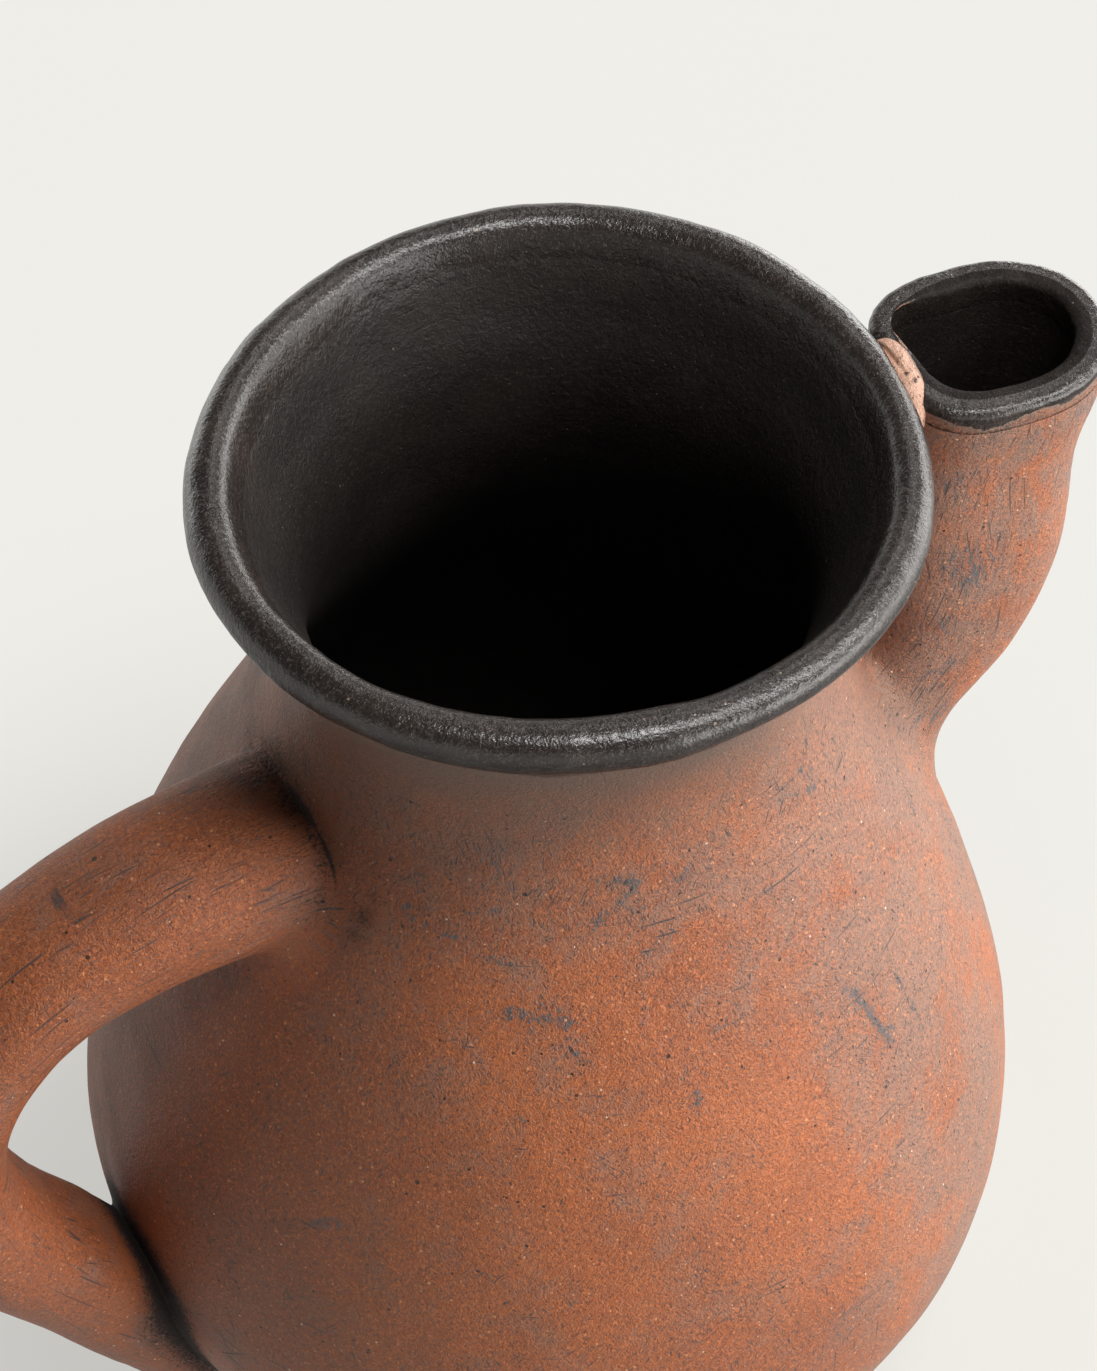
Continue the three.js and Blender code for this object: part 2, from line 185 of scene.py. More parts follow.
def quads(rows, columns, closed=False):
    faces = []
    for row in range(rows if closed else rows - 1):
        below, above = row * columns, ((row + 1) % rows) * columns
        for k in range(columns):
            beside = (k + 1) % columns
            faces.append((below + k, below + beside, above + beside, above + k))
    return faces


# Members that follow a centreline in an upright plane through the jug's axis
def centripetal(points, t):
    """Centripetal Catmull-Rom curve through the points, with t from 0 to 1."""
    p = np.vstack([2 * points[0] - points[1], points, 2 * points[-1] - points[-2]])
    last = len(points) - 1
    u = np.clip(t, 0, 1) * last
    i = np.minimum(u.astype(int), last - 1)
    w = (u - i)[..., None]
    p0, p1, p2, p3 = (p[i + k] for k in range(4))
    d0, d1, d2 = (np.sqrt(np.linalg.norm(b - a, axis=-1, keepdims=True)) for a, b in ((p0, p1), (p1, p2), (p2, p3)))
    d1 = np.where(d1 < 1e-4, 1, d1)
    d0, d2 = np.where(d0 < 1e-4, d1, d0), np.where(d2 < 1e-4, d1, d2)
    m1 = ((p1 - p0) / d0 - (p2 - p0) / (d0 + d1) + (p2 - p1) / d1) * d1
    m2 = ((p2 - p1) / d1 - (p3 - p1) / (d1 + d2) + (p3 - p2) / d2) * d1
    return p1 + m1 * w + (3 * (p2 - p1) - 2 * m1 - m2) * w ** 2 + (2 * (p1 - p2) + m1 + m2) * w ** 3


def wall_normal(p):
    flat = unit(p * (1, 1, 0))
    flat[..., 2] = -outer_slope(p[..., 2])
    return unit(flat)


def on_wall(p, lift):
    scale = offset_radius(p[..., 2], lift) / np.hypot(p[..., 0], p[..., 1])
    return p * np.stack([scale, scale, np.ones_like(scale)], axis=-1)


def dot(a, b):
    return np.sum(a * b, axis=-1, keepdims=True)


class Sweep:
    def __init__(self, stations, plane, jug_side, far_side):
        rows = np.array(stations, float)
        self.path, self.size, self.plane = rows[:, :2], rows[:, 2:], plane
        self.jug_side, self.far_side = jug_side, far_side
        fine = centripetal(self.path, np.linspace(0, 1, 2001))
        steps = np.linalg.norm(np.diff(fine, axis=0), axis=1)
        self.run = np.concatenate([[0], np.cumsum(steps)])

    def frame(self, t):
        t = np.asarray(t, float)
        centre = centripetal(self.path, t)
        along = unit(centripetal(self.path, t + 1e-4) - centripetal(self.path, t - 1e-4))
        return centre, along, centripetal(self.size, t)

    def section(self, t, turn, grow=0.0):
        """How far out and aside the surface lies from the centreline."""
        size = self.frame(t)[2]
        c, s = np.cos(turn), np.sin(turn)
        jug_side = self.jug_side(t) if callable(self.jug_side) else self.jug_side
        n = np.where(c < 0, jug_side, self.far_side)
        out = (size[..., 0] + grow) * np.sign(c) * np.abs(c) ** (2 / n)
        return out, (size[..., 1] + grow) * np.sign(s) * np.abs(s) ** (2 / n)

    def surface(self, t, turn, grow=0.0):
        t, turn = np.broadcast_arrays(t, turn)
        centre, along, _ = self.frame(t)
        out, side = self.section(t, turn, grow)
        x, z = centre[..., 0] - out * along[..., 1], centre[..., 1] + out * along[..., 0]
        c, s = math.cos(self.plane), math.sin(self.plane)
        return np.stack([x * c - side * s, x * s + side * c, z], axis=-1)

    def straightened(self, t, turn, grow=0.0):
        """The same place on a straight member, which strokes and grain follow."""
        t, turn = np.broadcast_arrays(t, turn)
        out, side = self.section(t, turn, grow)
        return np.stack([out, side, np.interp(t, np.linspace(0, 1, 2001), self.run)], axis=-1)

    def crossing(self, turns, from_end, grow=0.0, radius=outer_radius):
        """Where each column of the surface meets the wall."""
        steps = np.linspace(0, 0.5, 900)
        t = 1 - steps if from_end else steps

        def off(at):
            p = self.surface(at, turns, grow)
            return np.hypot(p[..., 0], p[..., 1]) - radius(p[..., 2])

        first = np.argmax(off(t[:, None] + 0 * turns) >= 0, axis=0)
        low, high = t[first - 1], t[first]
        for _ in range(24):
            middle = (low + high) / 2
            inside = off(middle) < 0
            low, high = np.where(inside, middle, low), np.where(inside, high, middle)
        return high

    def inside(self, p, grow):
        """True for the points that lie within the surface."""
        c, s = math.cos(self.plane), math.sin(self.plane)
        x, side = p[..., 0] * c + p[..., 1] * s, p[..., 1] * c - p[..., 0] * s
        flat = np.stack([x, p[..., 2]], axis=-1)
        t = np.linspace(0, 1, 400)
        centre, along, size = self.frame(t)
        found = np.zeros(len(flat), bool)
        near = np.nonzero(np.min(np.abs(flat[:, None, 0] - centre[None, ::8, 0]), axis=1) < 40)[0]
        for start in range(0, len(near), 20000):
            rows = near[start:start + 20000]
            k = np.argmin(np.linalg.norm(flat[rows, None] - centre[None], axis=-1), axis=1)
            away = flat[rows] - centre[k]
            out = -away[:, 0] * along[k, 1] + away[:, 1] * along[k, 0]
            n = np.where(out < 0, 2.9, 2.15)
            reach = np.abs(out / (size[k, 0] + grow)) ** n + np.abs(side[rows] / (size[k, 1] + grow)) ** n
            found[rows] = (reach < 1) & (np.abs(away[:, 0] * along[k, 0] + away[:, 1] * along[k, 1]) < 3)
        return found


SKIRT_ROWS, SKIRT_ROUNDING = 18, 0.62


def skirt(sweep, turns, from_end, width, spread):
    """Where the member's own surface ends, and the rows of clay from there onto the wall."""
    root_t = sweep.crossing(turns, from_end)
    sign = -1 if from_end else 1
    fine = root_t + sign * np.linspace(0, 0.22, 500)[:, None]
    column = sweep.surface(fine, turns)
    run = np.concatenate([0 * width[None], np.cumsum(np.linalg.norm(np.diff(column, axis=0), axis=-1), axis=0)])
    start = np.array([np.interp(width[k], run[:, k], fine[:, k]) for k in range(len(turns))])
    top = sweep.surface(start, turns)
    down = unit(sweep.surface(start - sign * 2e-3, turns) - top)
    root = sweep.surface(root_t, turns)
    off = unit(sweep.surface(root_t, turns, 1.0) - root)
    wall = wall_normal(root)
    away = unit(off - dot(off, wall) * wall)
    foot = on_wall(root + away * spread[:, None], 0.04)
    flat = wall_normal(foot)
    lie = unit(away - dot(away, flat) * flat)
    w, s = width[:, None] * SKIRT_ROUNDING, spread[:, None] * SKIRT_ROUNDING
    clay = bezier(top, top + down * w, foot - lie * s, foot, SKIRT_ROWS)
    edge = np.stack([on_wall(foot + lie * 0.8, -0.08), on_wall(foot + lie * 1.8, -0.5)])
    return start, root, np.concatenate([clay, edge])


# Spout and handle stations: reach from the axis, height, half size in the plane, half size across
def spout_stations():
    upright = ((1, 0.081, 1, 1), (0.926, 0.378, 0.967, 0.978), (0.93, 0.703, 1, 1.022), (0.786, 1, 0.901, 0.967))
    rows = [(RIM_RADIUS + a * 21.5, RIM_HEIGHT - b * 74, c * 21.3, d * 18.3) for a, b, c, d in upright]
    for a, b, c, d in ((-0.156, 1, 0.961, 0.904), (0.407, 0.582, 1, 0.979), (1, 0.284, 1, 1)):
        z = SHOULDER_HEIGHT + b * 33.5
        rows.append((float(outer_radius(z)) - a * 27, z, c * 18, d * 18.8))
    first = rows[0]
    return [(first[0], first[1] + 2 * LIP_HEIGHT, first[2], first[3])] + rows


def handle_stations():
    shares = (
        (-0.351, 1, 1.214, 1.204), (-0.018, 1.003, 1.179, 1.173), (0.509, 1, 1.071, 1.086),
        (0.86, 0.943, 1, 1.037), (1, 0.828, 1, 1.012), (0.93, 0.65, 1, 1), (0.596, 0.439, 0.957, 1),
        (0.272, 0.264, 0.929, 1.025), (0.102, 0.127, 0.914, 1.062), (-0.018, 0, 0.929, 1.086),
        (-0.351, -0.096, 0.857, 0.988),
    )
    rows = []
    for out, rise, thick, wide in shares:
        z = 42 + rise * 157
        rows.append((float(outer_radius(z)) + out * 57, z, thick * 14, wide * 16.2))
    return rows


spout = Sweep(spout_stations(), 0.0, 2.9, 2.15)
handle = Sweep(handle_stations(), HANDLE_TURN, lambda t: 2.25 + 0.75 * smooth(t, 0.5, 0.66), 2.25)
spout_turns = -np.linspace(0, 2 * math.pi, 176, endpoint=False)
handle_turns = -np.linspace(0, 2 * math.pi, 144, endpoint=False)
c = np.cos(handle_turns)
under = smooth(-c, 0, 0.8)
upper_start, _, upper_skirt = skirt(
    handle, handle_turns, False, 4.3 - 3.3 * c + 2 * under, 4.6 - 3.6 * c + 3.4 * under)
lower_start, lower_root, lower_skirt = skirt(handle, handle_turns, True, 5.5 + 3 * c, 6 + 3 * c)
c = np.cos(spout_turns)
spout_start, spout_root, spout_skirt = skirt(spout, spout_turns, True, 9 + 2 * c, 9 + 2 * c)


def wall_place(azimuth, height):
    a = math.radians(azimuth)
    r = float(outer_radius(height))
    return np.array([r * math.cos(a), r * math.sin(a), height])


def near(points, centres, strength, reach, power):
    """How strongly marks show at the points, where the marks lie at the centres."""
    flat = points.reshape(-1, 3)
    depth = np.zeros(len(flat))
    outer = np.nonzero(np.hypot(flat[:, 0], flat[:, 1]) > 45)[0]
    for start in range(0, len(outer), 20000):
        rows = outer[start:start + 20000]
        d = np.linalg.norm(flat[rows, None] - centres[None], axis=-1)
        depth[rows] = np.max(strength * np.exp(-((d / reach) ** power)), axis=1)
    return depth.reshape(points.shape[:-1])


# Smudges on the wall beside the handle: azimuth, height, depth and reach
SMUDGES = ((-148, 209, 0.42, 3), (-149, 204, 0.5, 3.6), (-150, 199, 0.36, 4))
# Pits in the lug: place, depth and reach
LUG_PITS = (
    (69.7, -4.9, 277.2, 1.2, 0.4), (71, -4.2, 277.2, 1.2, 0.3), (70.7, -7.1, 277, 1.2, 0.45),
    (70, -9.3, 276.8, 1.2, 0.3), (70.4, -1, 277.4, 1, 0.25),
)
# Soot and painted shade lie darkest in the corners where the handle and the spout leave the wall; the darkening in
# these creases is partly painted shade
c, s = np.cos(handle_turns), np.sin(handle_turns)
on_top = smooth(c, -0.1, 0.8) * smooth(s, -0.3, 0.1)
crease, half = upper_skirt[12], c[::2]
soot_and_shade_marks = (
    (crease, on_top * (0.8 + 0.4 * grain(crease, 5, 41)), 0.85 + 0.35 * grain(crease, 7, 42)),
    (upper_skirt[6, ::2], 0.3 + 0.16 * half, 5.5 + 0 * half),
    (lower_root[::2], 0.74 - 0.36 * half, 5.5 - 2.5 * half),
    (spout_root[::2], 0.2 - 0.1 * np.cos(spout_turns)[::2], 6 + 0 * spout_turns[::2]),
    ([wall_place(*k[:2]) for k in SMUDGES], [k[2] for k in SMUDGES], [k[3] for k in SMUDGES]),
    ([k[:3] for k in LUG_PITS], [k[3] for k in LUG_PITS], [k[4] for k in LUG_PITS]),
)
soot_and_shade_points, soot_and_shade_depth, soot_and_shade_reach = (np.concatenate(column) for column in zip(*soot_and_shade_marks))


def soot_and_shade(points):
    return near(points, soot_and_shade_points, soot_and_shade_depth, soot_and_shade_reach, 1.15)


# Where slate-coloured smoke was rubbed in: azimuth and height on the wall, reach and strength
WALL_RUBBINGS = (
    (-98, 212, 8, 1), (-87, 219, 7, 0.9), (-106, 210, 6, 0.8), (-115, 193, 6, 1), (-110, 189, 5, 0.9),
    (-113, 184, 4, 0.5), (-64, 172, 6, 0.8), (-55, 168, 6, 0.8), (-60, 159, 6, 0.6), (-142, 209, 6, 0.8),
    (-133, 207, 6, 0.5), (-62, 224, 8, 0.9), (-77, 99, 9, 0.9), (-90, 136, 4, 0.9), (-92, 170, 4, 0.6),
    (-149, 168, 9, 0.5), (150, 195, 9, 0.5), (-128, 226, 9, 0.5), (-20, 150, 12, 0.6), (35, 120, 14, 0.6),
    (80, 170, 12, 0.7), (120, 90, 14, 0.6), (20, 205, 12, 0.6), (-40, 110, 9, 0.4),
)
# Single strokes: azimuth and height of both ends, reach and strength
WALL_STROKES = (
    (-109, 209, -98, 219, 1.4, 1.6), (-97, 203, -91, 208, 2, 1.8), (-89, 218, -84, 221, 1.6, 1.6),
    (-105, 222, -98, 220, 1.6, 1.6), (-98, 201, -99, 188, 0.9, 1.5), (-121, 193, -111, 191, 1.7, 1.7),
    (-118, 192, -117, 188, 1.2, 1.5), (-113, 186, -108, 183, 1.3, 1.6), (-88, 184, -84, 183, 1, 1.8),
    (-70, 180, -69, 173, 1, 1.6), (-62, 173, -59, 157, 0.9, 1.6), (-53, 171, -53, 163, 1.2, 1.5),
    (-53, 164, -52, 153, 0.9, 1.5), (-25, 186, -29, 177, 1, 1.6), (-92, 173, -92, 168, 1.1, 1.7),
    (-66, 224, -55, 218, 1.1, 1.5), (-142, 210, -137, 212, 1.2, 1.7), (-137, 208, -132, 207, 1.4, 1.7),
    (-118, 172, -118, 165, 1, 1.4), (-76, 128, -70, 122, 1.1, 1.5), (-145, 214, -141, 217, 1, 1.6),
    (-144, 202, -140, 199, 1.1, 1.6), (-130, 213, -124, 215, 1, 1.5), (-126, 204, -121, 203, 1.1, 1.5),
    (-128, 186, -124, 180, 0.9, 1.5), (-82, 200, -77, 197, 1, 1.5), (-74, 206, -66, 204, 0.9, 1.5),
    (-104, 176, -99, 174, 0.9, 1.5), (40, 150, 52, 156, 1.3, 1.6), (75, 190, 82, 178, 1.2, 1.6),
    (110, 120, 118, 131, 1.3, 1.6), (140, 176, 150, 172, 1.2, 1.5), (168, 100, 176, 92, 1.2, 1.5),
    (15, 96, 22, 110, 1.2, 1.6), (92, 70, 104, 76, 1.2, 1.5), (-150, 130, -142, 138, 1.2, 1.4),
)
# On the handle and the spout: share of the length, turn in degrees, reach and strength
HANDLE_RUBBINGS = (
    (0.13, -70, 6, 1.35), (0.16, -105, 7, 1.3), (0.2, -100, 8, 0.9), (0.28, -110, 7, 0.7), (0.27, -40, 6, 0.6),
    (0.88, -60, 9, 0.7), (0.5, 90, 12, 0.6),
)
SPOUT_RUBBINGS = (
    (0.16, -60, 7, 0.8), (0.3, -50, 8, 1), (0.62, -110, 10, 1.2), (0.55, -140, 8, 1.1), (0.72, -75, 9, 0.9),
    (0.4, 80, 12, 0.9), (0.12, -105, 8, 1.1), (0.25, -115, 9, 1.2), (0.38, -105, 10, 1.2), (0.5, -125, 9, 1.2),
    (0.8, -115, 9, 1),
)
rows = [(*wall_place(a, z), reach, strength) for a, z, reach, strength in WALL_RUBBINGS]
for a, z, a_end, z_end, reach, strength in WALL_STROKES:
    count = 2 + int(np.linalg.norm(wall_place(a, z) - wall_place(a_end, z_end)) / reach)
    for share in np.linspace(0, 1, count):
        rows.append((*wall_place(a + (a_end - a) * share, z + (z_end - z) * share), reach, strength))
for sweep, marks in ((handle, HANDLE_RUBBINGS), (spout, SPOUT_RUBBINGS)):
    for t, turn, reach, strength in marks:
        rows.append((*sweep.surface(np.array([t]), np.radians([turn]))[0], reach, strength))
rub_marks = np.array(rows)


def rubbed(points):
    return near(points, rub_marks[:, :3], rub_marks[:, 4], rub_marks[:, 3], 2)


# Vessel: one profile from under the foot, up the outside, over the rim and down the inside
def outside(low, high, step=1.35):
    z = np.linspace(low, high, max(3, int((high - low) * 2)))
    return spaced(np.stack([outer_radius(z), z], axis=1), step)


def inside(high, low, step=1.5):
    z = np.linspace(high, low, max(3, int((high - low) * 2)))
    return spaced(np.stack([inner_radius(z), z], axis=1), step)


turn = np.linspace(0, math.pi / 2, 9)
foot_edge = float(outer_radius(SLAB_EDGE)) - SLAB_EDGE
under = spaced([(8, 0), (foot_edge - 0.5, 0)], 2.5)
edge = np.stack([foot_edge + SLAB_EDGE * np.sin(turn), SLAB_EDGE * (1 - np.cos(turn))], axis=1)
coil_centre = np.array([RIM_RADIUS - COIL_RADIUS, RIM_HEIGHT])
seat_turn = math.asin(SEAT_DROP / COIL_RADIUS)
turn = np.linspace(-seat_turn, math.radians(150), 27)
roll = coil_centre + COIL_RADIUS * np.stack([np.cos(turn), np.sin(turn)], axis=1)
throat = np.array([float(inner_radius(259)), 259])
lean = unit(np.array([float(inner_radius(258)), 258]) - throat)
hip = bezier(roll[-1], roll[-1] + 3.6 * np.array([-0.5, -0.866]), throat - 6 * lean, throat, 40)
hip = spaced(hip, 0.8)
seat_row = int(np.argmin(np.abs(hip[:, 1] - SEAT_HEIGHT)))
corner_top = np.array([float(inner_radius(17)), 17])
lean = unit(np.array([float(inner_radius(16)), 16]) - corner_top)
corner = bezier(corner_top, corner_top + 7 * lean, np.array([56, 8.7]), np.array([44, 8.4]), 30)
corner = spaced(corner, 1.4)
slab_row = int(np.argmin(np.abs(corner[:, 1] - SLAB_TOP)))
floor = spaced([(44, 8.4), (20, 8.05), (6, 8)], 2.4)

parts = (
    ("foot_slab", np.concatenate([under, edge, outside(SLAB_EDGE, SLAB_TOP)[1:]])),
    ("wall_bowl", outside(SLAB_TOP, BOWL_TOP)),
    ("wall_belly", outside(BOWL_TOP, BELLY_TOP)),
    ("wall_haunch", outside(BELLY_TOP, HAUNCH_TOP)),
    ("wall_shoulder", outside(HAUNCH_TOP, SHOULDER_TOP)),
    ("neck_collar", outside(SHOULDER_TOP, SEAT_HEIGHT, 1.1)),
    ("rim_coil", np.concatenate([outside(SHOULDER_TOP, SEAT_HEIGHT, 1.1)[-1:], roll, hip[1:seat_row + 1]])),
    ("neck_collar", np.concatenate([hip[seat_row:], inside(259, SHOULDER_TOP)[1:]])),
    ("wall_shoulder", inside(SHOULDER_TOP, HAUNCH_TOP)),
    ("wall_haunch", inside(HAUNCH_TOP, BELLY_TOP)),
    ("wall_belly", inside(BELLY_TOP, BOWL_TOP)),
    ("wall_bowl", np.concatenate([inside(BOWL_TOP, 17), corner[1:slab_row + 1]])),
    ("foot_slab", np.concatenate([corner[slab_row:], floor[1:]])),
)
rows, spans = [parts[0][1][0]], {}
for name, path in parts:
    first = len(rows) - 1
    rows.extend(path[1:])
    spans.setdefault(name, []).append((first, len(rows)))
profile = np.array(rows)
profile_run = np.concatenate([[0], np.cumsum(np.linalg.norm(np.diff(profile, axis=0), axis=1))])
roll_run = profile_run - profile_run[spans["rim_coil"][0][0]]

around = np.linspace(-math.pi, math.pi, COLUMNS, endpoint=False)
wall_grid = np.stack([
    profile[:, None, 0] * np.cos(around), profile[:, None, 0] * np.sin(around),
    profile[:, None, 1] + 0 * around], axis=-1)
smooth_grid = wall_grid
rim_share = smooth(wall_grid[..., 2], 262, 271)
wall_grid = wall_grid + grid_normals(wall_grid) * hand_marks(wall_grid, rim_share)[..., None]
wall_soot_and_shade, wall_rubbed = soot_and_shade(smooth_grid), rubbed(smooth_grid)

# How deep each place lies in the slip, which runs down the collar but leaves the roll's underside bare in front
SLIP_DROP, BARE_DEPTH, BARE_AZIMUTH, BARE_SPREAD = 13, 15.5, -34, 22
bare = BARE_DEPTH * np.exp(-(((np.degrees(around) - BARE_AZIMUTH) / BARE_SPREAD) ** 2))
fringe = 1.5 * grain(smooth_grid, 9, 27) + 1.0 * grain(smooth_grid, 3.5, 28) + 0.5 * grain(smooth_grid, 1.8, 30)
below_top = 1 - smooth(roll_run, 1, 5)[:, None]
slip_edge = (roll_run + SLIP_DROP)[:, None] + below_top * (fringe - bare)

wall_grid = hand_formed(wall_grid)
wall_normals = grid_normals(wall_grid)
hole_corners = np.zeros(wall_grid.shape[:2], bool)
region = (smooth_grid[..., 2] > 120) & (smooth_grid[..., 2] < 225) & (smooth_grid[..., 0] > 30)
hole_corners[region] = spout.inside(smooth_grid[region], -SPOUT_WALL + 1.6)


def wall_piece(name, material):
    spans_here = spans[name]
    picked = np.concatenate([np.arange(a, b) for a, b in spans_here])
    flat = {
        "slip_edge": slip_edge[picked].ravel(),
        "soot_and_shade": wall_soot_and_shade[picked].ravel(),
        "rubbed": wall_rubbed[picked].ravel(),
        "straight": smooth_grid[picked].reshape(-1, 3) * 0.001,
    }
    points = wall_grid[picked].reshape(-1, 3)
    normals = wall_normals[picked].reshape(-1, 3)
    closed = name != "foot_slab"
    faces = quads(len(picked), COLUMNS, closed)
    cut = hole_corners[picked].ravel()
    if cut.any():
        faces = [f for f in faces if not (cut[f[0]] or cut[f[2]])]
    if not closed:
        last = len(points) - COLUMNS
        faces.append(tuple(reversed(range(COLUMNS))))
        faces.append(tuple(range(last, last + COLUMNS)))
    return piece(name + "_clay", points, faces, normals, flat, material, [name])


# Handle and its roots
def swept_grid(sweep, turns, t, grow=0.0):
    return sweep.surface(t, turns, grow), sweep.straightened(t, turns, grow)


def marked(grid, straight, closed_rows=False):
    along = straight * (1, 1, 0.3)
    marks = hand_marks(grid) + 0.1 * grain(along, 7, 9) + 0.04 * grain(along, 2.6, 10)
    moved = grid + grid_normals(grid, closed_rows) * marks[..., None]
    return moved


def capped(rows, columns):
    last = (rows - 1) * columns
    return [tuple(reversed(range(columns))), tuple(range(last, last + columns))]


def lofted(name, grid, normals, straight, slip, material, nodes, closed=False):
    count, columns = grid.shape[:2]
    faces = quads(count, columns, closed)
    if not closed:
        faces += capped(count, columns)
    layers = {
        "slip_edge": slip.ravel(),
        "soot_and_shade": soot_and_shade(straight[0]).ravel(),
        "rubbed": rubbed(straight[0]).ravel(),
        "straight": straight[1].reshape(-1, 3) * 0.001,
    }
    return piece(name, grid.reshape(-1, 3), faces, normals.reshape(-1, 3), layers, material, nodes)


def build_handle(material):
    share = np.linspace(0, 1, 250)[:, None]
    t = upper_start + (lower_start - upper_start) * share
    middle, straight = swept_grid(handle, handle_turns, t)
    up, low = upper_skirt[1:][::-1], lower_skirt[1:]
    grid = np.concatenate([up, middle, low])
    run_up = straight[:1] - np.arange(len(up), 0, -1)[:, None, None] * (0, 0, 0.8)
    run_low = straight[-1:] + np.arange(1, len(low) + 1)[:, None, None] * (0, 0, 0.8)
    straight = np.concatenate([run_up, straight, run_low])
    place = grid
    grid = hand_formed(marked(grid, straight))
    normals = grid_normals(grid)
    a, b = len(up), len(up) + len(middle)
    slip = np.full(grid.shape[:2], -60.0)
    for name, low_row, high_row in (
        ("handle_upper_fillet", 0, a + 1), ("handle", a, b), ("handle_lower_fillet", b - 1, len(grid)),
    ):
        part = slice(low_row, high_row)
        lofted(name + "_clay", grid[part], normals[part], (place[part], straight[part]), slip[part],
               material, [name])


# Spout, with its bore open into the jug
def fuller_corner(place, turns, low, high):
    """Pushes the bore out in the corner between the jug and the far side, more so near the mouth."""
    mouth = spout_stations()[1]
    c, s = np.cos(turns), np.sin(turns)
    share = smooth(-c, 0, 0.5) * smooth(s, -0.1, 0.3) * smooth(place[..., 2], low, high)
    x = mouth[0] - 18.4 * np.abs(c) ** (2 / 4.4)
    y = 14.1 * np.sign(s) * np.abs(s) ** (2 / 4.4)
    corner = np.stack([x + 0 * share, y + 0 * share, place[..., 2]], axis=-1)
    return place + share[..., None] * (corner - place)


def top_param(sweep, turns, grow, height):
    low, high = np.zeros_like(turns), np.full_like(turns, 0.3)
    for _ in range(30):
        middle = (low + high) / 2
        above = sweep.surface(middle, turns, grow)[..., 2] > height
        low, high = np.where(above, middle, low), np.where(above, high, middle)
    return high


def build_spout(material):
    seat = LIP_TOP - LIP_HEIGHT
    turns = spout_turns
    top = top_param(spout, turns, 0.0, seat)
    share = np.linspace(0, 1, 100)[:, None]
    t = top + (spout_start - top) * share
    flare = 1.3 * smooth(spout.frame(t)[0][..., 1], 250, seat) ** 1.5
    skin, straight = swept_grid(spout, turns, t, flare)
    low = spout_skirt[1:]
    run_low = straight[-1:] + np.arange(1, len(low) + 1)[:, None, None] * (0, 0, 0.8)
    place = np.concatenate([skin, low])
    straight = np.concatenate([straight, run_low])
    grid = hand_formed(marked(place, straight))
    normals = grid_normals(grid)
    split = len(skin)

    # The bore ends in a rounded lip on the inside of the wall
    end = spout.crossing(turns, True, -SPOUT_WALL, inner_radius)
    top_bore = top_param(spout, turns, -SPOUT_WALL, seat)
    t = end + (top_bore - end) * np.linspace(0.03, 1, 90)[:, None]
    bore, bore_straight = swept_grid(spout, turns, t, -SPOUT_WALL)
    bore = fuller_corner(bore, turns, seat - 24, LIP_TOP)
    hole = spout.surface(end, turns, -SPOUT_WALL)
    off = unit(spout.surface(end, turns, -SPOUT_WALL + 1) - hole)

    def on_inside(p, lift):
        scale = (inner_radius(p[..., 2]) - lift) / np.hypot(p[..., 0], p[..., 1])
        return p * np.stack([scale, scale, np.ones_like(scale)], axis=-1)

    rim = [on_inside(hole + off * reach, lift) for reach, lift in ((4.6, -1.0), (4.4, 0.35), (2.8, 0.45), (1.2, 0.45))]
    behind = spout.surface(end + (spout_start - end) * np.linspace(0.96, 0.2, 8)[:, None], turns, -SPOUT_WALL + 1.2)
    inner = np.concatenate([behind, np.stack(rim), bore])
    inner_run = np.concatenate([np.repeat(bore_straight[:1], len(behind) + 4, axis=0), bore_straight])
    inner_grid = hand_formed(inner)
    inner_normals = grid_normals(inner_grid)
    slip_inner = np.full(inner.shape[:2], 60.0)
    slip_skin = np.full(place.shape[:2], -60.0)
    tube = np.concatenate([grid[:split], inner_grid])
    lofted("spout_tube_clay", tube, np.concatenate([normals[:split], inner_normals]),
           (np.concatenate([place[:split], inner]), np.concatenate([straight[:split], inner_run])),
           np.concatenate([slip_skin[:split], slip_inner]), material, ["spout_tube"], True)
    back = hand_formed(spout.surface(spout_start + (end - spout_start) * np.array([[0.75], [0.02]]), turns, -2.5))
    ring = np.concatenate([grid[split - 1:], back])
    ring_place = np.concatenate([place[split - 1:], back])
    ring_run = np.concatenate([straight[split - 1:], straight[-2:]])
    lofted("spout_root_fillet_clay", ring, np.concatenate([normals[split - 1:], unit(back)]),
           (ring_place, ring_run), np.full(ring.shape[:2], -60.0), material, ["spout_root_fillet"], True)


